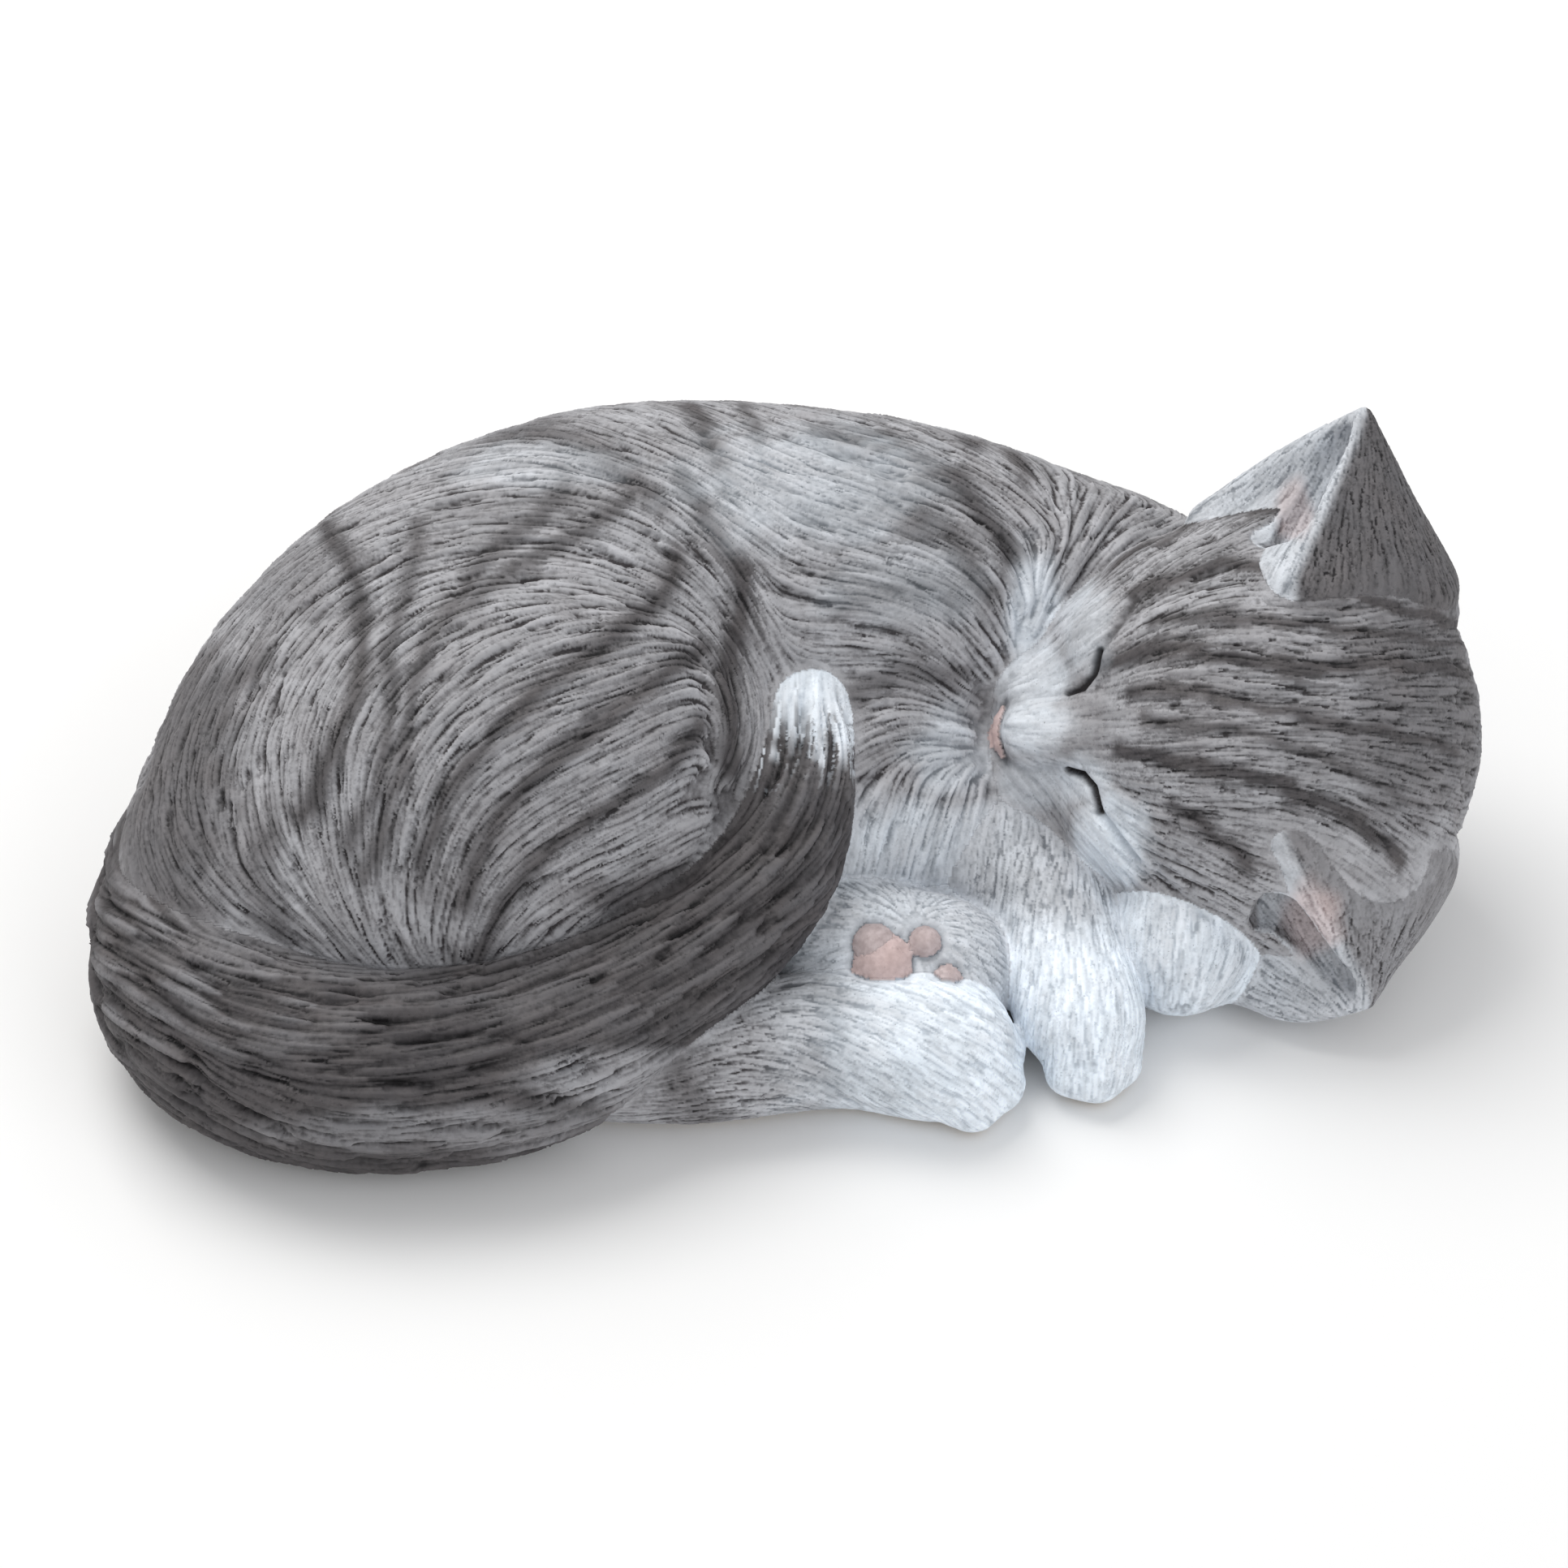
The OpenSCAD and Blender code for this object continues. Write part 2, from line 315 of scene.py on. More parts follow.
# square to the ear's front edge, in the plane of its opening
EAR_INWARD = np.array([0.68, 0.05, -0.73])


def ear_sheet(side, around=60, upward=46):
    """Balls that fill the ear from its outer sheet to the plane of its opening, in the clay frame."""
    corners = np.array(EAR_ROOT[side], float)
    root = eased(np.hstack([corners, np.zeros((len(corners), 1))]), 12)[:, :3]
    u = np.linspace(0, 1, around)
    root = np.stack([np.interp(u, np.linspace(0, 1, len(root)), root[:, i]) for i in range(3)], 1)
    chord = corners[0] + (corners[-1] - corners[0]) * u[:, None]
    tip = np.array(EAR_TIP[side], float)
    back = np.sin(math.pi * u)
    outer_edge = np.clip((u - EAR_OUTER) / (1 - EAR_OUTER), 0, 1)[:, None]
    balls = []
    for fill, top in EAR_SHEETS:
        base = root + (chord - root) * fill
        for v in np.linspace(0, top, upward):
            shrink = (1 - v) * (1 - EAR_NARROWS * back * v)
            bulge = EAR_BULGE[side] * math.sin(math.pi * v) * outer_edge
            row = tip + (base - tip) * shrink[:, None] + bulge
            balls.append(np.hstack([row, np.full((around, 1), EAR_THICK - EAR_THINS * v)]))
    return beads_from_head(np.vstack(balls), side)


def ear_form(side):
    balls = ear_sheet(side)
    field = Field(*box_of(balls))
    reach = 5.0
    for b in balls:
        cut, space = field.window(b[:3] - b[3] - reach, b[:3] + b[3] + reach)
        field.d[cut] = np.minimum(field.d[cut], ball(space, b))
    return field


def scoop_form(side):
    beads = beads_from_head(EAR_SCOOP[side], side)
    field = Field(*box_of(beads))
    lay(field, beads, 2.0, 3)
    return field


def body_form():
    field = Field(*box_of(TORSO, BELLY, HAUNCH))
    lay(field, TORSO, 4, 3, FOOTING)
    lay(field, BELLY, 9, 2, FOOTING)
    haunch = Field(*box_of(HAUNCH))
    lay(haunch, HAUNCH, 6, 3, FOOTING)
    cut = slices(haunch.start, haunch.stop, field.start)
    field.d[cut] = smooth_min(field.d[cut], haunch.d, 5)
    return field


def run_form(beads, toes=(), blend=3.0, steps=4, toe_blend=2.5):
    field = Field(*box_of(beads, *([toes] if toes else [])))
    lay(field, beads, blend, steps)
    dab(field, toes, toe_blend)
    return field


def seen_from_front(x, rise, field):
    """Where the sight line through a place in the picture plane first meets a form."""
    near = SIGHT_FROM
    for _ in range(SIGHT_STEPS):
        k = (VIEW_BACK - near + VIEW_AT) / VIEW_BACK
        up = VIEW_AT + (rise / math.sqrt(2) - VIEW_AT) * k
        point = np.array([x * k, 18 + (up - near) / math.sqrt(2), (up + near) / math.sqrt(2)])
        d = float(field.sample(point[None])[0])
        if d < SIGHT_CLOSE:
            break
        near -= min(d, SIGHT_STRIDE)
    return point


def gradient(field, point):
    step = np.eye(3) * VOXEL
    return unit(field.sample(point + step).astype(float) - field.sample(point - step))


def pad_form(name, sole):
    """A low dome on the sole."""
    x, rise, radius, height = PADS[name]
    place = seen_from_front(x, rise, sole)
    dome = (radius ** 2 + height ** 2) / (2 * height)
    centre = place + gradient(sole, place) * (height - dome)
    bead = np.append(centre, dome)
    field = Field(*box_of([bead]))
    dab(field, [bead], 1.0)
    return field


def sculpt():
    """The union of all forms, and each one alone."""
    sole = run_form(FAR_HIND)
    forms = {
        "body_shell": (body_form(), 1),
        "near_foreleg": (run_form(NEAR_FORE, FORE_TOES), 12),
        "tail": (run_form(TAIL), 3),
        "near_hind_foot": (run_form(NEAR_HIND, HIND_TOES), 3),
        "far_hind_foot": (sole, 2.5),
        "far_foreleg": (run_form(FAR_FORE), 2),
        "head_shell": (head_form(), 3.5),
        "near_ear": (ear_form(1), 8),
        "far_ear": (ear_form(-1), 8),
        "nose_leather": (nose_form(), 0.8),
    }
    for name in PADS:
        forms[name] = (pad_form(name, sole), 0.8)
    whole = np.full(COUNT, FAR, np.float32)
    for field, blend in forms.values():
        cut = slices(field.start, field.stop)
        whole[cut] = smooth_min(whole[cut], field.d, blend)
    # the hollows of the ears, which belong to the ears and not to the skull behind them
    for name, side in EARS.items():
        scoop = scoop_form(side)
        cut = slices(scoop.start, scoop.stop)
        whole[cut] = -smooth_min(-whole[cut], scoop.d, 2.0)
        ear = forms[name][0]
        low, high = np.maximum(ear.start, scoop.start), np.minimum(ear.stop, scoop.stop)
        mine, theirs = slices(low, high, ear.start), slices(low, high, scoop.start)
        ear.d[mine] = np.minimum(ear.d[mine], scoop.d[theirs] * SCOOP_STEEP - SCOOP_CLAIM)
    # the flat underside and the recess that takes the closing slab
    x, y, z = (LOW[i] + VOXEL * np.arange(COUNT[i], dtype=np.float32) for i in range(3))
    whole = np.maximum(whole, (UNDERSIDE - z)[None, None, :])
    slab = round_cone((x[:, None, None], y[None, :, None], np.zeros((1, 1, 1), np.float32)), *SLAB_ENDS)
    recess = np.maximum(slab, (z - SLAB_TOP)[None, None, :])
    union = Field(LOW, HIGH)
    union.d = np.maximum(whole, -recess)
    return union, {name: entry[0] for name, entry in forms.items()}


union, forms = sculpt()
NAMES = list(forms)


# ---------------------------------------------------------------- the surface and its fine mesh
def surface(field):
    grid = openvdb.FloatGrid(FAR)
    grid.copyFromArray(field.d)
    grid.gridClass = openvdb.GridClass.LEVEL_SET
    points, quads = grid.convertToQuads(0.0)
    return points * VOXEL + LOW, quads.astype(np.int64)[:, ::-1]


def normals_of(points, quads):
    a, b, c, d = (points[quads[:, i]] for i in range(4))
    face = np.cross(c - a, d - b)
    out = np.zeros_like(points)
    for axis in range(3):
        for corner in range(4):
            out[:, axis] += np.bincount(quads[:, corner], face[:, axis], len(points))
    return unit(out)


def edges_of(quads):
    """The edges and, for each quad, the numbers of its four."""
    pair = np.sort(np.stack([quads, np.roll(quads, -1, axis=1)], axis=2), axis=2).reshape(-1, 2)
    key = pair[:, 0] * (quads.max() + 1) + pair[:, 1]
    unique, first, inverse = np.unique(key, return_index=True, return_inverse=True)
    return pair[first], inverse.reshape(-1, 4)


def refine(values, quads, edges):
    """Values at corners, then edge middles, then face middles."""
    middles = (values[edges[:, 0]] + values[edges[:, 1]]) / 2
    return np.concatenate([values, middles, values[quads].mean(axis=1)])


def refined_quads(count, quads, edges, quad_edges):
    middle = count + quad_edges
    centre = (count + len(edges) + np.arange(len(quads)))[:, None]
    return np.concatenate([np.stack([quads[:, i], middle[:, i], centre[:, 0], middle[:, i - 1]], axis=1)
                           for i in range(4)])


def settle(points, quads, rounds):
    """Pulls points onto the true surface along their normals."""
    for _ in range(rounds):
        n = normals_of(points, quads)
        points = points - n * np.clip(union.sample(points), -0.4, 0.4)[:, None]
    return points


class Spread:
    """Averages a value over neighbouring corners of a mesh."""

    def __init__(self, count, edges):
        self.count = count
        self.a = np.concatenate([edges[:, 0], edges[:, 1]])
        self.b = np.concatenate([edges[:, 1], edges[:, 0]])
        self.valence = np.maximum(np.bincount(self.a, minlength=count), 1)

    def __call__(self, values, rounds=1):
        v = values.reshape(self.count, -1).astype(float)
        for _ in range(rounds):
            total = np.stack([np.bincount(self.a, column, self.count) for column in v[self.b].T], axis=1)
            v = 0.5 * v + 0.5 * total / self.valence[:, None]
        return v.reshape(values.shape)


coarse, quads = surface(union)
edges, quad_edges = edges_of(quads)
coarse_spread = Spread(len(coarse), edges)
coarse = coarse_spread(coarse, 1)
coarse = settle(coarse, quads, 2)
coarse_normal = normals_of(coarse, quads)


def form_distances(points):
    return np.stack([forms[n].sample(points) for n in NAMES])


def nearest_form(points):
    return np.argmin(form_distances(points), axis=0)


coarse_label = nearest_form(coarse)

# ---------------------------------------------------------------- the lie of the hair
# The hair of the ears runs towards a place this far beyond the tip, that of the sole away from this one.
BEYOND_TIP = 8
SOLE_WHORL = (27.0, -36.0, 30.0)
# Strokes of the comb, root to tip, as seen from the front: x and rise (y + z - 18) in mm.
COMB = {
    "body_shell": [
        [(-4, 62), (-10, 85), (-22, 105), (-40, 117), (-60, 120), (-85, 112), (-108, 95), (-125, 70),
         (-135, 40), (-140, 12)],
        [(-6, 62), (-20, 85), (-36, 98), (-55, 103), (-78, 100), (-98, 88), (-112, 68), (-120, 45),
         (-124, 20), (-122, 0)],
        [(-22, 78), (-40, 88), (-60, 90), (-80, 82), (-93, 68), (-102, 48), (-105, 25), (-103, 5),
         (-100, -15)],
        [(-24, 74), (-45, 70), (-65, 58), (-78, 42), (-86, 20), (-90, -5), (-92, -25)],
        [(-20, 66), (-40, 56), (-60, 46), (-74, 30), (-80, 10), (-84, -10), (-84, -30)],
        [(-18, 56), (-38, 42), (-58, 28), (-70, 12), (-75, -8), (-78, -25)],
        [(-16, 44), (-36, 28), (-55, 14), (-66, 0), (-70, -15), (-72, -30)],
        [(-16, 30), (-30, 16), (-48, 4), (-62, -10), (-68, -26)],
        [(-16, 16), (-30, 6), (-44, -4), (-58, -16), (-66, -28)],
        [(-18, 18), (-12, 32), (-11, 48), (-15, 64), (-24, 78), (-38, 88)],
        [(-138, 35), (-134, 8), (-122, -12), (-105, -28)],
        [(-118, 30), (-114, 5), (-104, -14), (-92, -32)],
        [(-98, 20), (-95, -5), (-86, -24), (-78, -36)],
        [(62, 100), (50, 113), (30, 126), (5, 134)],
        [(56, 78), (48, 94), (28, 107), (5, 118), (-15, 130)],
        [(50, 65), (40, 80), (22, 88), (6, 92), (-8, 104), (-24, 118), (-45, 130)],
        [(42, 58), (34, 70), (20, 76), (4, 76)],
        [(44, 44), (30, 58), (10, 57)],
        [(42, 40), (26, 40), (14, 32)],
        [(45, 22), (42, 5), (40, -12)],
        [(28, 24), (24, 5), (22, -10)],
        [(58, 4), (56, -6), (55, -14)],
        [(54, 66), (62, 80), (74, 96), (88, 106)],
        [(58, 84), (64, 98), (70, 112)],
    ],
    "tail": [
        [(-140, -8), (-125, -20), (-105, -32), (-80, -35), (-60, -28), (-42, -18), (-22, -2), (-8, 15),
         (-5, 40), (-3, 60)],
        [(-146, -25), (-125, -38), (-100, -44), (-78, -44), (-58, -38), (-38, -26), (-18, -10), (-4, 10),
         (2, 35), (3, 60)],
        [(-146, -45), (-128, -58), (-105, -64), (-80, -62), (-58, -54), (-34, -40), (-12, -22), (6, 0),
         (12, 25), (10, 50)],
        [(-138, -62), (-122, -76), (-100, -86), (-75, -84), (-50, -76), (-28, -62), (-8, -42), (8, -25)],
    ],
    "near_hind_foot": [
        [(-30, -60), (-12, -48), (0, -42), (18, -44), (35, -52), (50, -62)],
        [(-30, -70), (-12, -62), (4, -66), (16, -76)],
        [(10, -50), (24, -60), (38, -74)],
        [(30, -52), (44, -64), (52, -76)],
        [(-60, -84), (-30, -80), (0, -78)],
    ],
    "near_foreleg": [
        [(62, 0), (58, -22), (56, -40), (54, -54)],
        [(66, -10), (68, -30), (68, -50), (68, -70)],
        [(72, -15), (75, -32), (79, -50), (76, -72)],
    ],
    "far_foreleg": [
        [(92, -10), (90, -30), (88, -50)],
        [(80, -15), (78, -30), (80, -48)],
        [(104, -15), (106, -28), (98, -46)],
    ],
    "head_shell": [
        [(64, 62), (74, 76), (88, 92), (104, 104)],
        [(66, 62), (82, 78), (100, 86), (120, 84), (142, 92)],
        [(70, 56), (86, 66), (104, 66), (122, 62), (146, 66)],
        [(50, 47), (70, 50), (90, 50), (112, 46), (150, 48)],
        [(52, 36), (70, 36), (92, 40), (118, 42), (150, 38)],
        [(66, 30), (82, 30), (100, 32), (122, 28), (146, 20)],
        [(70, 22), (86, 19), (104, 19), (124, 12), (140, -4)],
        [(68, 22), (76, 8), (90, -2), (104, -12)],
        [(60, 22), (66, 8), (74, -8), (82, -18)],
        [(48, 30), (54, 18), (60, 6)],
        [(48, 52), (56, 60), (62, 66)],
    ],
}


def seen(points):
    """Where points appear in the picture plane, and how far they stand towards the viewer."""
    y, z = points[:, 1] - 18, points[:, 2]
    up, near = (y + z) / math.sqrt(2), (z - y) / math.sqrt(2)
    scale = VIEW_BACK / (VIEW_BACK - (near - VIEW_AT))
    return np.stack([points[:, 0] * scale, ((up - VIEW_AT) * scale + VIEW_AT)], axis=1)


TO_VIEW = np.array([[1, 0, 0], [0, math.sqrt(0.5), math.sqrt(0.5)], [0, -math.sqrt(0.5), math.sqrt(0.5)]])


def on_surface(vectors, normals):
    return unit(vectors - normals * np.sum(vectors * normals, axis=1, keepdims=True))


def along(beads, points):
    """The direction of a run of beads at its place nearest to each point."""
    run = eased(beads, 4)[:, :3]
    middle = (run[1:] + run[:-1]) / 2
    step = unit(run[1:] - run[:-1])
    out = np.zeros_like(points)
    for i in range(0, len(points), CHUNK):
        part = points[i:i + CHUNK]
        out[i:i + CHUNK] = step[np.argmin(((part[:, None] - middle[None]) ** 2).sum(axis=2), axis=1)]
    return out


def own_way(name, points):
    """The way the hair of a piece lies where no stroke of the comb says otherwise, root to tip."""
    if name == "body_shell":
        return np.tile([-1.0, 0.1, -0.5], (len(points), 1))
    if name == "head_shell":
        return points - from_head([(62, 0, -6)])
    if name in EARS:
        ahead, aside, up = EAR_TIP[EARS[name]]
        return from_head([(ahead, EARS[name] * (aside + BEYOND_TIP), up)]) - points
    if name == "far_hind_foot":
        return points - np.array([SOLE_WHORL])
    runs = {"tail": TAIL, "near_hind_foot": NEAR_HIND, "near_foreleg": NEAR_FORE, "far_foreleg": FAR_FORE}
    return along(runs[name], points)


def stroke_steps(strokes):
    """Short steps along strokes: places in the picture plane and their directions."""
    place, way = [], []
    for stroke in strokes:
        run = eased([(x, rise / math.sqrt(2), 0, 0) for x, rise in stroke], 3)[:, :2]
        place.append((run[1:] + run[:-1]) / 2)
        way.append(unit(run[1:] - run[:-1]))
    return np.vstack(place), np.vstack(way)


def lie_of_hair(points, normals, label):
    flow = np.zeros_like(points)
    plane = seen(points)
    facing = normals @ TO_VIEW.T
    for index, name in enumerate(NAMES):
        mine = np.flatnonzero(label == index)
        if not len(mine) or name not in HAIR:
            continue
        n = normals[mine]
        way = on_surface(own_way(name, points[mine]), n)
        if name in COMB:
            total = np.zeros((len(mine), 2))
            for place, step in zip(*stroke_steps(COMB[name])):
                gap = ((plane[mine] - place) ** 2).sum(axis=1)
                total += (1 / (gap + 20) ** 2)[:, None] * step
            flat = unit(total)
            view_n = facing[mine]
            rise = -(flat * view_n[:, :2]).sum(axis=1) / np.maximum(view_n[:, 2], 0.2)
            guided = on_surface(np.hstack([flat, rise[:, None]]) @ TO_VIEW, n)
            trust = np.clip((view_n[:, 2] - 0.05) / 0.35, 0, 1)[:, None]
            way = on_surface(way * (1 - trust) + guided * trust, n)
        flow[mine] = way
    return flow


# Single strands, and below them the tufts they lie in: length and half width in mm, depth in mm, and how
# many times over they cover the skin.
HAIR = {
    "body_shell": (17, 0.80, 0.72, 3.6), "tail": (24, 1.00, 1.00, 3.4), "head_shell": (11, 0.72, 0.62, 3.6),
    "near_hind_foot": (7, 0.65, 0.42, 2.8), "far_hind_foot": (5, 0.62, 0.45, 2.8),
    "near_foreleg": (7, 0.65, 0.42, 2.8), "far_foreleg": (7, 0.65, 0.42, 2.8),
    "near_ear": (5, 0.60, 0.36, 2.6), "far_ear": (5, 0.60, 0.36, 2.6),
}
TUFTS = {
    "body_shell": (18, 1.7, 1.20, 2.0), "tail": (25, 2.1, 2.30, 1.9), "head_shell": (13, 1.5, 1.00, 2.0),
    "near_hind_foot": (10, 1.7, 0.45, 1.9), "near_foreleg": (9, 1.7, 0.40, 1.9),
    "far_foreleg": (9, 1.7, 0.40, 1.9),
}
# the height of a hair that leaves the skin where it is, the lowest one, and how much less deep the legs are
NEUTRAL = 0.8
SHALLOWEST = 0.42
LEGS_SHALLOWER = 0.22
# a height and the number of its hair are kept in one whole number
HEIGHT_STEPS = 250000
HAIR_BITS = 20
CHUNK = 40000


class Pelt:
    """A mesh's points, the lie of the hair on them, and the cells that find them."""

    def __init__(self, points, normals, flow, label, size, spacing):
        self.points, self.normals, self.flow, self.label = points, normals, flow, label
        self.size, self.spacing = size, spacing
        self.low = points.min(axis=0) - 3 * size
        self.shape = np.ceil((points.max(axis=0) + 3 * size - self.low) / size).astype(int)
        key = self.key(points)
        self.order = np.argsort(key, kind="stable")
        self.count = np.bincount(key, minlength=int(np.prod(self.shape)))
        self.start = np.concatenate([[0], np.cumsum(self.count)[:-1]])

    def key(self, places):
        c = np.clip(((places - self.low) / self.size).astype(np.int64), 1, self.shape - 2)
        return (c[:, 0] * self.shape[1] + c[:, 1]) * self.shape[2] + c[:, 2]

    def beside(self, base, i, j, k):
        return base + (i * self.shape[1] + j) * self.shape[2] + k

    def around(self, places):
        """Yields (numbers of places, numbers of points) until every point near a place has come up."""
        base = self.key(places)
        for i, j, k in np.ndindex(3, 3, 3):
            cell = self.beside(base, i - 1, j - 1, k - 1)
            count = self.count[cell]
            for turn in range(int(count.max(initial=0))):
                which = np.flatnonzero(count > turn)
                yield which, self.order[self.start[cell[which]] + turn]

    def step_to(self, places, before):
        """A point of the mesh in or beside each place's cell."""
        base = self.key(places)
        found = before.copy()
        left = np.ones(len(places), bool)
        for i, j, k in [(0, 0, 0), (1, 0, 0), (-1, 0, 0), (0, 1, 0), (0, -1, 0), (0, 0, 1), (0, 0, -1)]:
            cell = self.beside(base, i, j, k)
            hit = left & (self.count[cell] > 0)
            found[hit] = self.order[self.start[cell[hit]] + self.count[cell[hit]] // 2]
            left &= ~hit
        return found

    def comb(self, roots, steps, step):
        """Walks each hair from its root along the lie of the hair."""
        where, near = self.points[roots], roots
        heading = self.flow[roots]
        path, way = [where], [heading]
        for _ in range(steps):
            heading = on_surface(heading * 0.4 + self.flow[near] * 0.6, self.normals[near])
            where = where + heading * step
            near = self.step_to(where, near)
            where = where - self.normals[near] * np.clip(union.sample(where), -1, 1)[:, None]
            path.append(where)
            way.append(heading)
        return np.stack(path, axis=1), np.stack(way, axis=1)

    def carve(self, rng, kinds, step):
        """Height of the topmost hair at every point, and a number from 0 to 1 that is its own."""
        roots, length, width = [], [], []
        for index, name in enumerate(NAMES):
            if name in kinds:
                long, half, _, cover = kinds[name]
                mine = np.flatnonzero((self.label == index) & (self.points[:, 2] > UNDERSIDE + 1.5))
                count = int(len(mine) * self.spacing ** 2 * cover / (half * long))
                roots.append(rng.choice(mine, count))
                length.append(long * rng.uniform(0.6, 1.25, count))
                width.append(half * rng.uniform(0.75, 1.2, count))
        roots, length, width = (np.concatenate(v) for v in (roots, length, width))
        lift = rng.uniform(0, 0.7, len(roots))
        steps = int(length.max() / step)
        path, way = self.comb(roots, steps, step)
        hair = np.repeat(np.arange(len(roots)), steps + 1)
        s = np.tile(np.arange(steps + 1) * step, len(roots)) / length[hair]
        keep = s <= 1
        hair, s, path, way = hair[keep], s[keep], path.reshape(-1, 3)[keep], way.reshape(-1, 3)[keep]
        # a hair swells from its root, stands highest near its tip and tapers to nothing there
        half = width[hair] * np.clip(np.minimum(0.55 + s * 1.6, (1.02 - s) * 2.6), 0.12, 1)
        crown = 0.35 + 0.65 * s
        fade = np.clip(np.minimum(s * 5, (1.04 - s) * 7), 0, 1)
        best = np.zeros(len(self.points), np.int64)
        for which, point in self.around(path):
            gap = self.points[point] - path[which]
            onward = (gap * way[which]).sum(axis=1)
            off = np.sqrt(np.maximum((gap * gap).sum(axis=1) - onward ** 2, 0)) / half[which]
            hit = (off < 1) & (np.abs(onward) < step * 0.6)
            which, point, off = which[hit], point[hit], off[hit]
            top = (crown[which] * (1 - off ** 2) + lift[hair[which]]) * fade[which]
            np.maximum.at(best, point, (top * HEIGHT_STEPS).astype(np.int64) << HAIR_BITS | hair[which])
        own = rng.uniform(0, 1, len(roots))[best & (2 ** HAIR_BITS - 1)]
        return (best >> HAIR_BITS) / HEIGHT_STEPS, own


def rise_of(kinds, label):
    out = np.zeros(len(label))
    for index, name in enumerate(NAMES):
        if name in kinds:
            out[label == index] = kinds[name][2]
    return out


flow = lie_of_hair(coarse, coarse_normal, coarse_label)
flow = on_surface(coarse_spread(flow, 3), coarse_normal)
rng = np.random.default_rng(7)
tuft, tuft_tone = Pelt(coarse, coarse_normal, flow, coarse_label, 3.0, VOXEL).carve(rng, TUFTS, 2.0)
tuft_relief = (coarse_spread(tuft, 1) - NEUTRAL) * coarse_spread(rise_of(TUFTS, coarse_label), 5)

ring = (quads, edges)
fine_quads = refined_quads(len(coarse), quads, edges, quad_edges)
fine = settle(refine(coarse, *ring), fine_quads, 1)
normal = normals_of(fine, fine_quads)
label = nearest_form(fine)
fine_edges, _ = edges_of(fine_quads)
fine_spread = Spread(len(fine), fine_edges)
pelt = Pelt(fine, normal, on_surface(refine(flow, *ring), normal), label, 1.2, VOXEL / 2)
strand, strand_tone = pelt.carve(rng, HAIR, 1.0)
SMOOTH = [NAMES.index(name) for name in NAMES if name not in HAIR]
strand[np.isin(label, SMOOTH)] = NEUTRAL
LEGS = [NAMES.index(name) for name in ("near_hind_foot", "far_hind_foot", "near_foreleg", "far_foreleg")]
strand = np.maximum(strand, SHALLOWEST + LEGS_SHALLOWER * np.isin(label, LEGS))

# ---------------------------------------------------------------- creases and paint
# Dark stripes as seen from the front: width in mm, strength, then places (x, rise).
STRIPES = {
    "head_shell": [
        (2.4, 0.9, (69, 64), (93, 78), (115, 78), (137, 75), (149, 67)),
        (1.7, 0.8, (77, 57), (97, 64), (118, 60), (137, 54), (151, 51)),
        (2.0, 0.8, (70, 44), (88, 46), (115, 42), (133, 42), (153, 40)),
        (1.8, 0.7, (77, 36), (93, 37), (115, 32), (133, 28), (149, 23)),
        (1.4, 0.7, (82, 51), (104, 52), (126, 49), (152, 46)),
        (1.4, 0.6, (80, 30), (100, 29), (120, 23), (142, 11)),
        (2.0, 0.8, (75, 23), (88, 20), (108, 17), (126, 10), (137, -2)),
        (2.0, 0.7, (86, 10), (97, 3), (104, -2)),
        (4.0, 0.7, (108, 90), (124, 85), (140, 85)),
        (2.5, 0.6, (66, 80), (82, 92), (97, 98)),
        (4.5, 0.5, (150, 70), (154, 45), (152, 20)),
    ],
    "body_shell": [
        (3.0, 0.7, (-45, 133), (-32, 118), (-21, 100), (-12, 82)),
        (2.5, 0.6, (-30, 137), (-19, 123), (-9, 103), (-4, 85)),
        (2.5, 0.6, (-17, 137), (-6, 123), (2, 110)), (3.0, 0.7, (1, 131), (12, 118), (26, 105), (42, 92)),
        (3.0, 0.7, (21, 131), (33, 116), (48, 100), (53, 85)), (3.0, 0.6, (39, 126), (51, 113), (59, 100)),
        (3.2, 0.7, (8, 92), (24, 90), (41, 80), (50, 67)), (3.0, 0.6, (6, 75), (21, 77), (35, 72), (46, 59)),
        (2.6, 0.6, (13, 57), (26, 60), (39, 57)), (2.6, 0.5, (15, 34), (26, 41), (41, 40)),
        (2.6, 0.3, (17, 18), (26, 25), (41, 23)), (2.6, 0.3, (33, -5), (48, 3), (59, 3)),
        (3.0, 0.6, (-98, 85), (-83, 91), (-68, 94), (-54, 94), (-39, 88), (-27, 79)),
        (3.0, 0.7, (-103, 76), (-94, 58), (-94, 37), (-101, 21), (-108, 8)),
        (2.8, 0.6, (-81, 72), (-85, 58), (-88, 44), (-87, 29), (-90, 13), (-98, 2)),
        (2.8, 0.6, (-49, 83), (-66, 65), (-78, 49), (-83, 37), (-84, 21), (-90, 5), (-94, -4)),
        (2.6, 0.6, (-34, 80), (-50, 69), (-66, 58), (-78, 49)),
        (2.8, 0.7, (-23, 66), (-27, 57), (-41, 46), (-54, 38), (-65, 27), (-73, 16), (-80, 0)),
        (2.8, 0.7, (-18, 46), (-30, 37), (-43, 29), (-57, 16), (-66, 5), (-72, -10)),
        (2.8, 0.7, (-19, 27), (-27, 19), (-41, 10), (-54, 0), (-63, -10), (-68, -23)),
        (4.0, 0.6, (-133, 30), (-123, 37), (-116, 43)), (4.0, 0.5, (-114, 5), (-118, -4), (-111, -17)),
        (3.0, 0.8, (-22, 84), (-12, 66), (-9, 56), (-13, 40), (-12, 20)),
    ],
    "near_hind_foot": [(6.0, 0.8, (11, -36), (13, -50), (11, -60)),
                       (5.0, 0.5, (-24, -48), (-18, -60), (-24, -76))],
    "near_foreleg": [(2.2, 0.35, (51, -7), (66, -10)), (2.2, 0.35, (56, -20), (70, -20))],
}
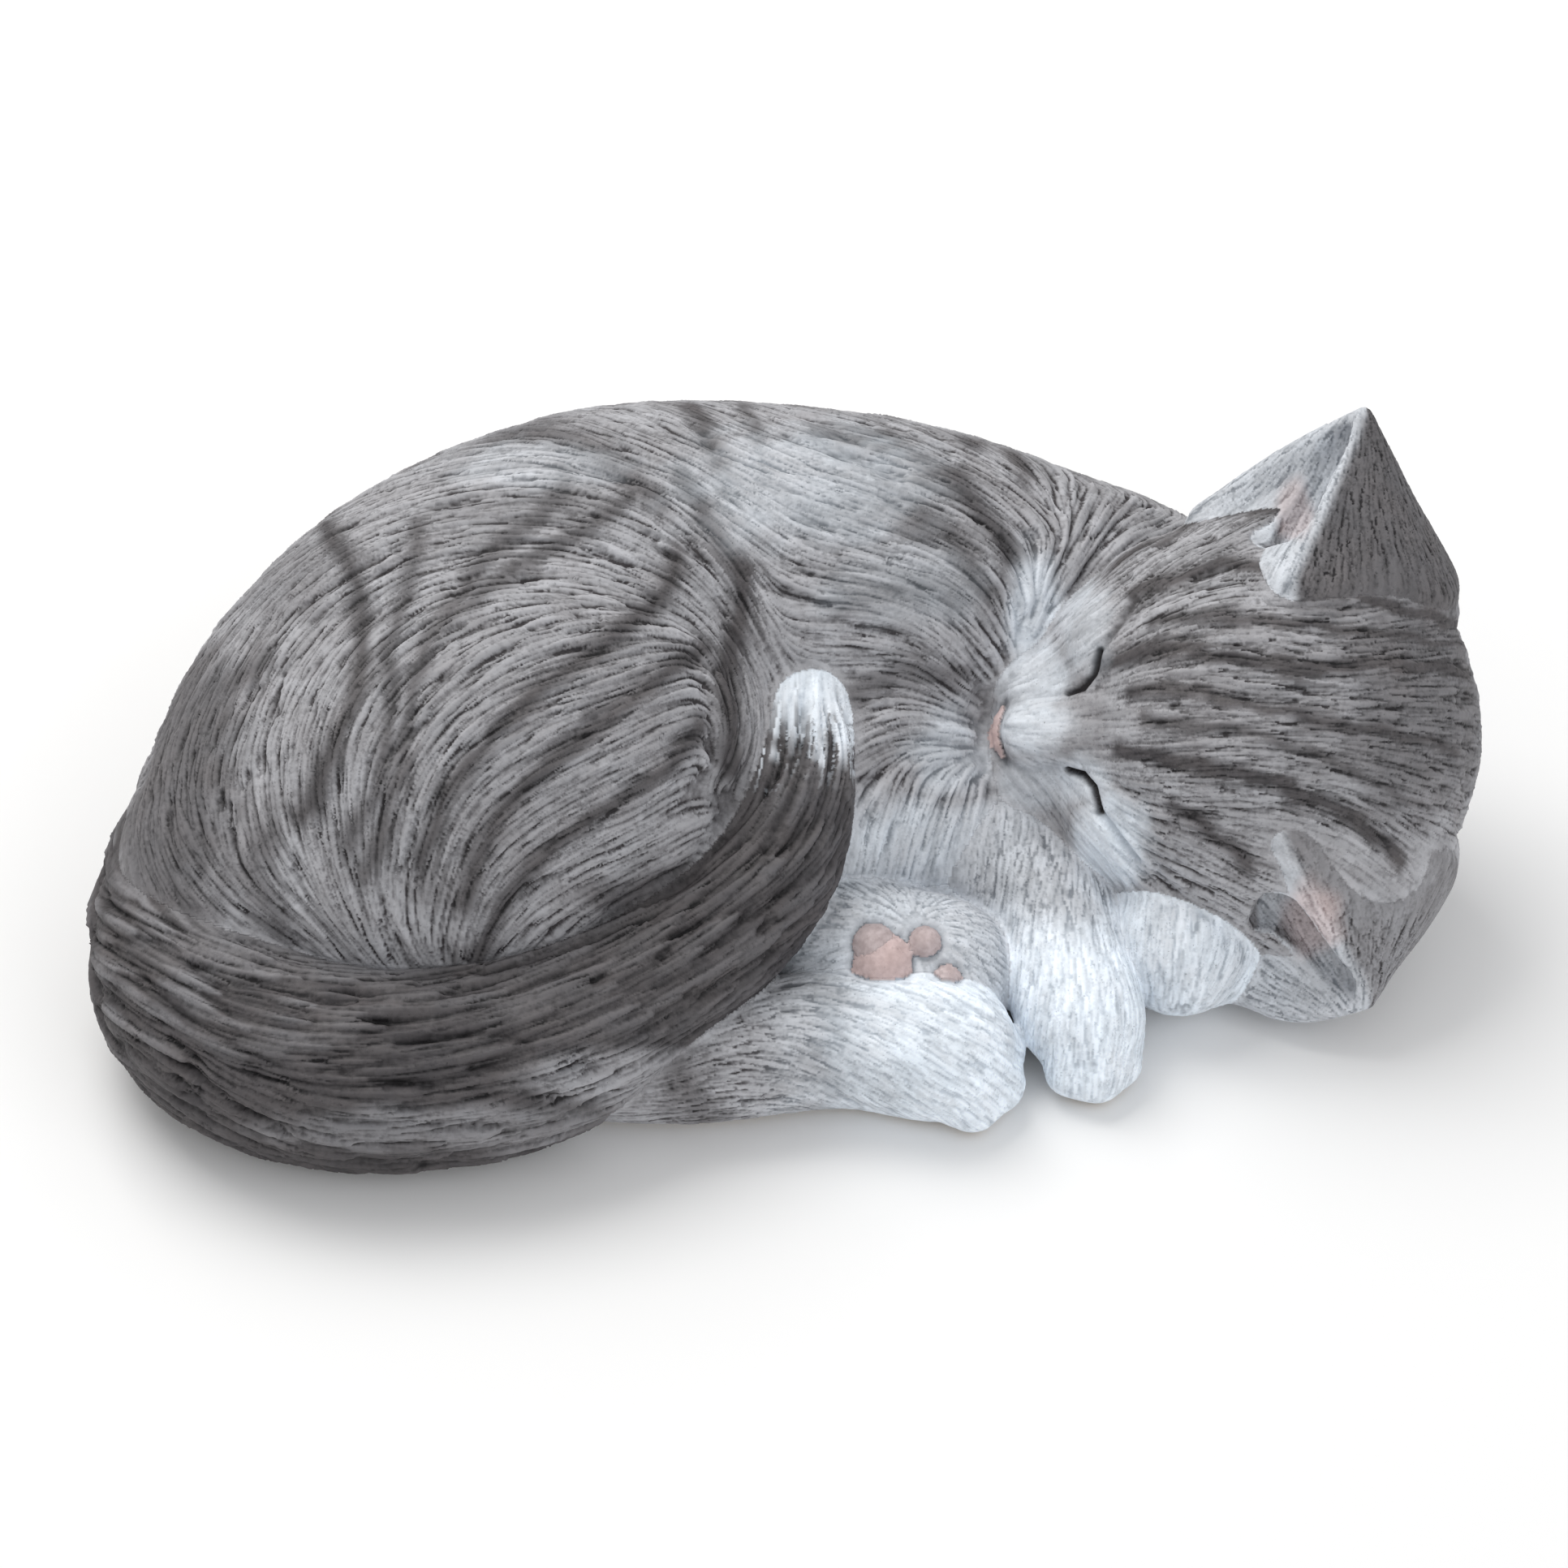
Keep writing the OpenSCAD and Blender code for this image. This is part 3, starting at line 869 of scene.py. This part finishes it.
STRIPE_DEPTH = {"head_shell": 1.4, "body_shell": 1.35, "near_hind_foot": 1.3, "near_foreleg": 1.3}
# Broad patches of paint, and on the rump's left edge one of painted shade: x, rise, half width, half height,
# strength.
PATCHES = {
    ("head_shell", "white"): [(55, 40, 10, 9, 0.52), (56, 56, 9, 12, 0.45), (56, 22, 9, 9, 0.35),
        (67, 72, 6, 16, 0.35), (73, 3, 9, 15, 0.8), (66, 24, 7, 8, 0.5)],
    ("head_shell", "dark"): [(142, 50, 20, 44, 0.68), (124, 80, 16, 7, 0.6), (112, 45, 30, 34, 0.25)],
    ("body_shell", "white"): [(56, 76, 6, 20, 0.6), (36, 0, 28, 18, 0.5), (26, 84, 18, 13, 0.2),
        (38, 30, 10, 16, 0.35), (58, -10, 14, 16, 0.7), (5, 115, 28, 18, 0.36), (-55, 122, 22, 7, 0.2)],
    # the first dark patch here darkens the rump's left edge as painted shade
    ("body_shell", "dark"): [(-138, 25, 18, 60, 0.8), (-62, 38, 44, 48, 0.22), (-112, 88, 14, 16, 0.35),
        (-22, -14, 24, 13, 0.85), (-60, 108, 24, 7, 0.35), (-12, 30, 5, 26, 0.5)],
    ("near_hind_foot", "dark"): [(-34, -62, 16, 12, 0.45)],
    ("far_hind_foot", "dark"): [(8, -28, 9, 9, 0.3)],
    ("near_ear", "blush"): [(118, -20, 6, 12, 0.55)],
    ("far_ear", "blush"): [(114, 108, 4, 10, 0.45)],
    ("near_ear", "dark"): [(134, 2, 14, 14, 0.35)],
    ("tail", "dark"): [(0, 14, 20, 16, 0.25)],
    ("tail", "light"): [(-118, -28, 22, 12, 0.28), (-70, -86, 45, 7, 0.5), (-95, -37, 20, 4, 0.3),
        (-36, -70, 22, 9, 0.75)],
}
BASE_PAINT = {"tail": ("dark", 1.0), "near_ear": ("dark", 0.45), "far_ear": ("dark", 0.86),
              "near_foreleg": ("white", 1.0), "far_foreleg": ("white", 0.8), "far_hind_foot": ("white", 0.45),
              "near_hind_foot": ("white", 1.0), "nose_leather": ("blush", 1.0), "sole_pad": ("blush", 0.9),
              "toe_pad_inner": ("blush", 0.55), "toe_pad_middle": ("blush", 0.65),
              "toe_pad_outer": ("blush", 0.65)}
# the closed eye's slit and the crease behind it, in the head's axes (forward, sideways)
EYE_SLIT = [(45, 8.4), (42.5, 9.2), (40.6, 12), (39.3, 17.5)]
EYE_CREASE = [(39.3, 17.5), (35.5, 22.5), (31, 28)]
# the side of the nose bridge, carved and darkened as a painted shadow line
BRIDGE_SIDE = [(57, 7.2), (53, 8.6), (47, 8.0)]
# how wide each of these lines is in mm, and how strong on the near side and the far side of the head
SLIT_WIDTH, CREASE_WIDTH, BRIDGE_WIDTH = 0.6, 0.8, 1.0
SLIT_STRENGTH, CREASE_STRENGTH, BRIDGE_STRENGTH = {1: 1.0, -1: 0.7}, {1: 1.0, -1: 0.6}, 0.35
# the face begins this far forward and up in the head's axes
FACE_FROM, FACE_OVER = 20, -8
# how far stripes wander, how much their width varies along them, how far single strands fray them
STRIPE_SWAY, STRIPE_VARIES, STRIPE_FRAY = 1.1, 0.2, 0.7
PATCH_VARIES = 0.18
# the bands on the side that the front view hides: how far apart they are, how far they wander
BAND_PITCH, BAND_SWAY, BAND_STRENGTH = 21, 5, 0.65
TIP_STRENGTH, TIP_FRAY = 0.85, 20
# how pale the inside of each ear is
EAR_PALE = {1: 0.32, -1: 0.38}


def smooth_step(low, high, value):
    v = np.clip((value - low) / (high - low), 0, 1)
    return v * v * (3 - 2 * v)


def off_line(places, line):
    """Distance from each place to a line of points."""
    best = np.full(len(places), 1e9)
    for a, b in zip(line[:-1], line[1:]):
        a, b = np.asarray(a, float), np.asarray(b, float)
        t = np.clip((places - a) @ (b - a) / ((b - a) @ (b - a)), 0, 1)
        best = np.minimum(best, np.linalg.norm(places - a - t[:, None] * (b - a), axis=1))
    return best


def ripple(points, size, seed):
    """Smooth noise from -1 to 1 with features about size mm across."""
    draw = np.random.default_rng(seed)
    wave = draw.normal(0, 2 * math.pi / (size * 1.7), (9, 3))
    phase = draw.uniform(0, 2 * math.pi, 9)
    return np.sin(points @ wave.T + phase).sum(axis=1) / 4.5


def bell(distance, width):
    """1 on a line, and nearly 0 at twice its width."""
    return np.exp(-(distance / width) ** 2)


def of_piece(name):
    return np.flatnonzero(label == NAMES.index(name))


plane = seen(fine)
height = plane[:, 1] * math.sqrt(2)
facing = (normal @ TO_VIEW.T)[:, 2]
in_head = to_head(fine)
trust = smooth_step(0.0, 0.3, facing)
upright = np.array([1, 1 / math.sqrt(2)])


def eyes():
    """How deep each point lies in the slit of a closed eye, and how near to the crease behind it and to the
    painted shadow line along the side of the nose bridge.
    """
    slit, crease = np.zeros(len(fine)), np.zeros(len(fine))
    face = of_piece("head_shell")
    face = face[(in_head[face, 2] > FACE_OVER) & (in_head[face, 0] > FACE_FROM)]
    for side in (1, -1):
        flat = in_head[face, :2] * [1, side]
        slit[face] += SLIT_STRENGTH[side] * bell(off_line(flat, EYE_SLIT), SLIT_WIDTH)
        crease[face] += CREASE_STRENGTH[side] * bell(off_line(flat, EYE_CREASE), CREASE_WIDTH)
        # the edge of the nose bridge: a painted shadow line
        crease[face] += BRIDGE_STRENGTH * bell(off_line(flat, BRIDGE_SIDE), BRIDGE_WIDTH)
    return slit, crease


def paint():
    """Every point's share of each colour."""
    share = {name: np.zeros(len(fine)) for name in ("dark", "white", "blush", "light")}

    def brush(colour, mine, amount):
        share[colour][mine] = np.maximum(share[colour][mine], amount)

    for name, (colour, strength) in BASE_PAINT.items():
        share[colour][of_piece(name)] = strength
    streak = strand_tone - 0.5
    sway = plane * upright + STRIPE_SWAY * np.stack([ripple(fine, 16, 1), ripple(fine, 16, 2)], axis=1)
    for name, stripes in STRIPES.items():
        mine = of_piece(name)
        for width, strength, *line in stripes:
            gap = off_line(sway[mine], np.array(line, float) * upright)
            gap /= width * (1 + STRIPE_VARIES * ripple(fine[mine], 12, 3))
            gap *= 1 + STRIPE_FRAY * streak[mine]
            brush("dark", mine, STRIPE_DEPTH[name] * strength * bell(gap, 1) * trust[mine])
    for (name, colour), spots in PATCHES.items():
        mine = of_piece(name)
        for x, rise, wide, high, strength in spots:
            gap = np.hypot((plane[mine, 0] - x) / wide, (height[mine] - rise) / high)
            gap += PATCH_VARIES * ripple(fine[mine], 9, 4)
            brush(colour, mine, strength * (1 - smooth_step(0.55, 1.35, gap)) * trust[mine])
    # the side that the front view hides carries the same kind of bands
    body = np.concatenate([of_piece("body_shell"), of_piece("head_shell")])
    band = np.sin((fine[body, 0] + BAND_SWAY * ripple(fine[body], 30, 5)) * 2 * math.pi / BAND_PITCH)
    brush("dark", body, smooth_step(0.1, 0.9, band) * BAND_STRENGTH * (1 - trust[body]))
    # legs turn white towards the paws, the tail towards its tip
    hind = of_piece("near_hind_foot")
    share["white"][hind] *= smooth_step(-12, 34, fine[hind, 0] + 5 * ripple(fine[hind], 14, 6))
    fore = of_piece("near_foreleg")
    share["white"][fore] *= 0.3 + 0.7 * smooth_step(-8, -36, height[fore] + 4 * ripple(fine[fore], 12, 7))
    tail = of_piece("tail")
    frayed = height[tail] + TIP_FRAY * streak[tail] + 4 * ripple(fine[tail], 6, 8)
    brush("white", tail, TIP_STRENGTH * smooth_step(26, 46, frayed) * (fine[tail, 0] > -30))
    # the tail's tufts are dry-brushed along their crowns, most of all where they turn round the rump
    crown = smooth_step(0.95, 1.35, refine(coarse_spread(tuft, 1), *ring)[tail])
    root = smooth_step(-80, -105, fine[tail, 0]) * trust[tail]
    brush("light", tail, crown * (0.12 + 0.26 * root) * smooth_step(-72, -48, height[tail]))
    # the insides of the ears face forwards and are pale
    for name, side in EARS.items():
        ear = of_piece(name)
        inner = smooth_step(-0.45, -0.1, (normal[ear] @ HEAD_TURN)[:, 0])
        inner *= smooth_step(-6.5, -4.0, (in_head[ear] * [1, side, 1] - EAR_ROOT[side][0]) @ EAR_INWARD)
        share["white"][ear] = EAR_PALE[side] * inner
        share["dark"][ear] *= 1 - inner
    share["dark"] = share["dark"] * (1 - share["light"]) * (1 - 0.8 * share["white"])
    return share


def around_pads():
    """How near each point of the fur lies to the edge of a pad or of the nose."""
    edge = np.full(len(fine), FAR)
    bald = np.zeros(len(fine), bool)
    for index, name in enumerate(NAMES):
        if name not in HAIR:
            edge = np.minimum(edge, np.abs(forms[name].sample(fine)))
            bald |= label == index
    clear = label == NAMES.index("body_shell")
    return bell(edge, MOAT_WIDTH) * np.where(bald, 0.35, 1) * ~clear


SLIT_DEPTH, CREASE_DEPTH, MOAT_DEPTH = 1.8, 1.2, 0.9
MOAT_WIDTH = 0.9
slit, crease = eyes()
share = paint()
bare = 1 - smooth_step(UNDERSIDE + 0.3, UNDERSIDE + 1.5, fine[:, 2])
hairy = smooth_step(UNDERSIDE + 0.5, UNDERSIDE + 5, fine[:, 2]) * (1 - np.clip(slit + crease, 0, 1))
hairy *= 1 - np.isin(label, SMOOTH)
# the hair lies flatter where two pieces meet and on the muzzle
two_nearest = np.partition(form_distances(fine), 1, axis=0)[:2]
hairy *= 1 - 0.75 * bell(two_nearest[1] - two_nearest[0], 1.6)
hairy *= 1 - 0.6 * smooth_step(26, 42, in_head[:, 0]) * (label == NAMES.index("head_shell"))
relief = (strand - NEUTRAL) * fine_spread(rise_of(HAIR, label), 6) + refine(tuft_relief, *ring)
moat = around_pads()
carved = np.maximum(np.maximum(SLIT_DEPTH * slit, CREASE_DEPTH * crease), MOAT_DEPTH * moat)
skin = fine + normal * (relief * hairy - carved)[:, None]
# paint gathers between strands and between tufts, and the hollows there are darkened further as painted shade
cavity = fine_spread(strand, 8) - strand
between_tufts = refine(coarse_spread(tuft, 14) - coarse_spread(tuft, 1), *ring)
wash_and_shade = np.clip(0.14 + 1.7 * cavity + 0.30 * np.clip(0.9 - strand, 0, 0.6) + 0.9 * between_tufts, 0, 1)
# the closed eyes' slits and creases are painted dark; the ring round the pads and the nose leather and the
# line beside the nose bridge are darkened as painted shade
wash_and_shade = np.maximum(wash_and_shade * hairy, np.clip(slit * 1.4 + crease * 0.7 + moat * 0.55, 0, 1))
# tone wanders at random from strand to strand and from tuft to tuft, and is lower between the tufts as
# painted shade
tone = np.clip(0.5 + 0.6 * (strand_tone - 0.5) + 0.45 * (refine(tuft_tone, *ring) - 0.5)
               - 0.5 * between_tufts + 0.2 * ripple(fine, 18, 9), 0, 1)
# the dark layer takes the eye lines, and beside the nose bridge a painted shadow line
LAYERS = {"wash_and_shade": wash_and_shade, "tone": tone, "dark": np.clip(share["dark"] + 0.8 * slit + 0.4 * crease, 0, 1),
          "white": share["white"] * (1 - np.clip(slit * 1.5, 0, 1)),
          "blush": share["blush"], "bare": bare}

# ---------------------------------------------------------------- cutting the cast into its pieces
WALL_USUAL = 4.0
WALL = dict.fromkeys((*EARS, "nose_leather", *PADS), 0.8)
# where the wall would come out on the other side it is made this share as thick, this way in
THINNER = ((0.6, "smoothed"), (0.35, "own"))
SEAM_ROUNDS = 6


def meeting_quads():
    """Pairs of quads that share an edge."""
    order = np.argsort(quad_edges.ravel(), kind="stable")
    edge, quad = quad_edges.ravel()[order], order // 4
    same = edge[1:] == edge[:-1]
    return quad[:-1][same], quad[1:][same]


def votes(label, one, two, counted):
    count = np.zeros((len(label), len(NAMES)), np.int32)
    np.add.at(count, (one, label[two]), counted[two])
    np.add.at(count, (two, label[one]), counted[one])
    return count


def patches(label, one, two):
    """A number for each connected patch of quads with one label."""
    patch = np.arange(len(label))
    same = label[one] == label[two]
    a, b = one[same], two[same]
    while True:
        low = np.minimum(patch[a], patch[b])
        fresh = patch.copy()
        np.minimum.at(fresh, a, low)
        np.minimum.at(fresh, b, low)
        fresh = fresh[fresh]
        if np.array_equal(fresh, patch):
            return patch
        patch = fresh


def tidy_labels():
    """Each quad's piece, with smooth seams and no stray islands."""
    label = nearest_form(coarse[quads].mean(axis=1))
    one, two = meeting_quads()
    every = np.ones(len(label), np.int32)
    for _ in range(SEAM_ROUNDS):
        count = votes(label, one, two, every)
        count[np.arange(len(label)), label] += 1
        label = count.argmax(axis=1)
    patch = patches(label, one, two)
    size = np.bincount(patch, minlength=len(label))
    main = np.zeros(len(label), bool)
    for index in range(len(NAMES)):
        mine = np.flatnonzero(label == index)
        if len(mine):
            main |= patch == patch[mine][np.argmax(size[patch[mine]])]
    while not main.all():
        count = votes(label, one, two, main.astype(np.int32))
        reached = ~main & (count.sum(axis=1) > 0)
        if not reached.any():
            break
        label[reached] = count[reached].argmax(axis=1)
        main |= reached
    return label


def add_object(name, data):
    obj = bpy.data.objects.new(name, data)
    bpy.context.scene.collection.objects.link(obj)
    return obj


def add_mesh(name, points, *faces):
    mesh = bpy.data.meshes.new(name)
    mesh.vertices.add(len(points))
    mesh.vertices.foreach_set("co", ((points + SHIFT) * MM).astype(np.float32).ravel())
    corners = np.concatenate([f.ravel() for f in faces])
    sides = np.concatenate([np.full(len(f), f.shape[1]) for f in faces])
    mesh.loops.add(len(corners))
    mesh.loops.foreach_set("vertex_index", corners.astype(np.int32))
    mesh.polygons.add(len(sides))
    mesh.polygons.foreach_set("loop_start", (np.cumsum(sides) - sides).astype(np.int32))
    mesh.update(calc_edges=True)
    mesh.polygons.foreach_set("use_smooth", np.ones(len(sides), bool))
    return add_object(name, mesh)


quad_label = tidy_labels()
INWARD = {"smoothed": unit(coarse_spread(coarse_normal, 4)), "own": coarse_normal}


def cut_piece(index):
    """One closed piece: its share of the skin, the same share set in by the wall, and the seams between."""
    name = NAMES[index]
    mine = np.flatnonzero(quad_label == index)
    wall = WALL.get(name, WALL_USUAL)
    outer = np.concatenate([fine_quads[mine + turn * len(quads)] for turn in range(4)])
    outer_points, outer_new = np.unique(outer, return_inverse=True)
    inner_points, inner_new = np.unique(quads[mine], return_inverse=True)
    face = skin[inner_points]
    inside = face - INWARD["smoothed"][inner_points] * wall
    for part, way in THINNER:
        deeper = face - INWARD[way][inner_points] * wall * part
        poor = union.sample(inside) > union.sample(face) - 0.3 * wall
        inside = np.where(poor[:, None], deeper, inside)
    # the seam: edges that only one quad of this piece has
    used, first, count = np.unique(quad_edges[mine].ravel(), return_index=True, return_counts=True)
    rim, at = used[count % 2 == 1], first[count % 2 == 1]
    a = quads[mine[at // 4], at % 4]
    b = quads[mine[at // 4], (at + 1) % 4]
    middle = len(coarse) + rim

    def out(p):
        return np.searchsorted(outer_points, p)

    def into(p):
        return np.searchsorted(inner_points, p) + len(outer_points)

    seam = np.concatenate([np.stack([out(b), out(middle), into(b)], axis=1),
                           np.stack([out(middle), out(a), into(a)], axis=1),
                           np.stack([out(middle), into(a), into(b)], axis=1)])
    back = inner_new.reshape(-1, 4)[:, ::-1] + len(outer_points)
    points = np.vstack([skin[outer_points], inside])
    obj = add_mesh(name + "_cast", points, outer_new.reshape(-1, 4), back, seam)
    for layer, values in LAYERS.items():
        fill = 1.0 if layer == "bare" else 0.5
        data = np.concatenate([values[outer_points], np.full(len(inner_points), fill)]).astype(np.float32)
        obj.data.attributes.new(layer, "FLOAT", "POINT").data.foreach_set("value", data)
    return obj


# ---------------------------------------------------------------- materials
class Recipe:
    """A few short names for building a node material. Noise scales are per metre."""

    def __init__(self, name):
        self.material = bpy.data.materials.new(name)
        self.material.use_nodes = True
        self.tree = self.material.node_tree
        self.shader = self.tree.nodes["Principled BSDF"]
        self.place = self.node("TexCoord").outputs["Object"]

    def put(self, socket, value):
        if isinstance(value, tuple):
            socket.default_value = (*value, 1)
        elif isinstance(value, (int, float)):
            socket.default_value = value
        else:
            self.tree.links.new(value, socket)

    def node(self, kind, **inputs):
        node = self.tree.nodes.new("ShaderNode" + kind)
        for socket, value in inputs.items():
            self.put(node.inputs[socket], value)
        return node

    def layer(self, name):
        node = self.node("Attribute")
        node.attribute_name = name
        return node.outputs["Fac"]

    def noise(self, scale, detail=3.0, roughness=0.5):
        node = self.node("TexNoise", Vector=self.place, Scale=scale, Detail=detail, Roughness=roughness)
        return node.outputs["Fac"]

    def ranged(self, value, low, high, to_low, to_high):
        node = self.node("MapRange", Value=value)
        for socket, number in zip(("From Min", "From Max", "To Min", "To Max"), (low, high, to_low, to_high)):
            node.inputs[socket].default_value = number
        return node.outputs["Result"]

    def add(self, a, b):
        node = self.node("Math")
        node.operation = "ADD"
        self.put(node.inputs[0], a)
        self.put(node.inputs[1], b)
        return node.outputs[0]

    def mix(self, share, a, b, blend="MIX"):
        node = self.node("Mix")
        node.data_type = "RGBA"
        node.blend_type = blend
        for socket, value in ((0, share), (6, a), (7, b)):
            self.put(node.inputs[socket], value)
        return node.outputs[2]

    def tint(self, value):
        """The same value on all three channels."""
        return self.node("CombineColor", Red=value, Green=value, Blue=value).outputs["Color"]

    def cover(self, colour, grain, smooth, rough):
        """The colour, and a roughness that wanders between two values."""
        self.put(self.shader.inputs["Base Color"], colour)
        self.put(self.shader.inputs["Roughness"], self.ranged(self.noise(grain, 4), 0.3, 0.7, smooth, rough))

    def bump(self, height, distance, strength):
        node = self.node("Bump", Height=height, Distance=distance, Strength=strength)
        self.put(self.shader.inputs["Normal"], node.outputs["Normal"])


# each paint on a ridge, on a ridge where the brush ran thin, and in a hollow, where wash and painted shade
# darken it
PAINTS = {
    "coat": ((0.43, 0.432, 0.455), (0.34, 0.335, 0.35), (0.045, 0.040, 0.043)),
    "dark": ((0.068, 0.063, 0.067), (0.096, 0.087, 0.089), (0.007, 0.006, 0.007)),
    "white": ((0.84, 0.92, 1.0), (0.84, 0.89, 0.95), (0.58, 0.64, 0.71)),
    "blush": ((0.62, 0.47, 0.45), (0.70, 0.56, 0.55), (0.38, 0.27, 0.26)),
}
SPECK = PAINTS["dark"][2]
CLAY, CLAY_PALE = (0.66, 0.58, 0.47), (0.74, 0.66, 0.55)
CLAY_DEEP, GRIT = (0.50, 0.42, 0.33), (0.33, 0.26, 0.20)
FELT, FIBRE = (0.060, 0.062, 0.066), (0.16, 0.16, 0.165)


def painted(name, gloss):
    """Brushed-on paint: dark in the hollows from wash and painted shade, dry-brushed on the ridges, mottled
    where the brush ran thin.
    """
    r = Recipe(name)
    # how far each point lies in a hollow, where wash and painted shade darken the paint
    wash_and_shade = r.add(r.layer("wash_and_shade"), r.ranged(r.noise(700, 4), 0.3, 0.7, -0.16, 0.16))
    wash_and_shade = r.ranged(wash_and_shade, 0.03, 0.68, 0, 1)
    cloud = r.ranged(r.noise(90, 5, 0.6), 0.35, 0.65, 0, 1)
    colour = None
    for layer, (ridge, thin, hollow) in PAINTS.items():
        this = r.mix(wash_and_shade, r.mix(cloud, ridge, thin), hollow)
        colour = r.mix(r.layer(layer), colour, this) if colour is not None else this
    shade = r.ranged(r.layer("tone"), 0, 1, 0.80, 1.20)
    colour = r.mix(1.0, colour, r.tint(shade), "MULTIPLY")
    colour = r.mix(r.ranged(r.noise(1500, 2), 0.68, 0.78, 0, 0.5), colour, SPECK)
    clay = r.mix(r.ranged(r.noise(1200, 3), 0.4, 0.7, 0, 1), CLAY, CLAY_DEEP)
    r.cover(r.mix(r.layer("bare"), colour, clay), 400, gloss, gloss + 0.2)
    r.shader.inputs["Specular IOR Level"].default_value = 0.35
    r.bump(r.noise(2200, 3, 0.6), 0.00015, 0.35)
    return r.material


def biscuit():
    """Unglazed clay: warm, with darker grit and the drag marks of a sponge."""
    r = Recipe("biscuit_clay")
    grit = r.ranged(r.noise(900, 2), 0.60, 0.66, 0, 1)
    body = r.mix(r.ranged(r.noise(60, 5, 0.6), 0.35, 0.65, 0, 1), CLAY, CLAY_PALE)
    r.cover(r.mix(grit, body, GRIT), 300, 0.75, 0.95)
    r.bump(r.noise(1100, 5, 0.65), 0.0003, 0.6)
    return r.material


def felt():
    """Pressed wool: fine matted fibres in two greys."""
    r = Recipe("felt_wool")
    fibre = r.node("TexWave", Vector=r.place, Scale=500, Distortion=14, Detail=4).outputs["Fac"]
    r.cover(r.mix(fibre, FELT, FIBRE), 800, 0.85, 1.0)
    r.shader.inputs["Sheen Weight"].default_value = 0.4
    r.bump(fibre, 0.0004, 0.8)
    return r.material


SLOTS = {"body_coat": ("body_shell",), "head_coat": ("head_shell", "near_ear", "far_ear"),
         "tail_coat": ("tail",),
         "paw_coat": ("near_hind_foot", "far_hind_foot", "near_foreleg", "far_foreleg"),
         "skin_pink": ("nose_leather", "sole_pad", "toe_pad_inner", "toe_pad_middle", "toe_pad_outer")}
PINK_GLOSS, COAT_GLOSS = 0.42, 0.55


def dress():
    """Cuts, paints and mounts every piece of the cast, and finishes the nodes that stay."""
    for slot, names in SLOTS.items():
        paint_of = painted(slot + "_paint", PINK_GLOSS if slot == "skin_pink" else COAT_GLOSS)
        for name in names:
            piece = cut_piece(NAMES.index(name))
            piece.data.materials.append(paint_of)
            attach(piece, "root")
            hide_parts(name)
    wool, clay = felt(), biscuit()
    for name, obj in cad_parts.items():
        if name.startswith("felt_pad"):
            finish(obj, wool)
        elif name == "base_slab":
            finish(obj, clay)


def finish(obj, material):
    for entry in obj.material_slots:
        entry.link = "OBJECT"
        entry.material = material


dress()


# ---------------------------------------------------------------- stage, light, camera
FLOOR_HALF = 3.0
FRAME_WIDTH = 0.350
SENSOR = 36
SKY_STRENGTH = 0.62


def stage():
    mesh = bpy.data.meshes.new("floor")
    corners = [(FLOOR_HALF * x, FLOOR_HALF * y, 0) for x, y in ((-1, -1), (1, -1), (1, 1), (-1, 1))]
    mesh.from_pydata(corners, [], [(0, 1, 2, 3)])
    floor = add_object("floor", mesh)
    paper = bpy.data.materials.new("floor_paper")
    paper.use_nodes = True
    shader = paper.node_tree.nodes["Principled BSDF"]
    shader.inputs["Base Color"].default_value = (0.9, 0.9, 0.9, 1)
    shader.inputs["Roughness"].default_value = 0.9
    mesh.materials.append(paper)


def aim(name, data, place, onward):
    """An object that stands at a place and looks onward."""
    obj = add_object(name, data)
    obj.location = place
    obj.rotation_mode = "QUATERNION"
    obj.rotation_quaternion = onward.to_track_quat("-Z", "Y")
    return obj


def lamp(name, place, size, power, colour):
    data = bpy.data.lights.new(name, "AREA")
    data.size = size
    data.energy = power
    data.color = colour
    aim(name, data, place, -Vector(place))


def camera():
    target = Vector((SHIFT[0], SHIFT[1] + 18, 22)) * MM
    back = Vector((0, -math.sqrt(0.5), math.sqrt(0.5)))
    distance = VIEW_BACK * MM
    data = bpy.data.cameras.new("camera")
    data.sensor_width = SENSOR
    data.lens = SENSOR * distance / FRAME_WIDTH
    bpy.context.scene.camera = aim("camera", data, target + back * distance, -back)


def sky():
    world = bpy.data.worlds.new("studio")
    bpy.context.scene.world = world
    world.use_nodes = True
    light = world.node_tree.nodes["Background"]
    light.inputs["Color"].default_value = (1, 1, 1, 1)
    light.inputs["Strength"].default_value = SKY_STRENGTH
    bpy.context.scene.view_settings.view_transform = "Standard"


stage()
camera()
sky()
lamp("key", (-0.5, 0.6, 1.3), 1.0, 14, (1, 0.99, 0.97))
lamp("fill", (0.9, -0.9, 0.9), 1.2, 5, (0.93, 0.96, 1))
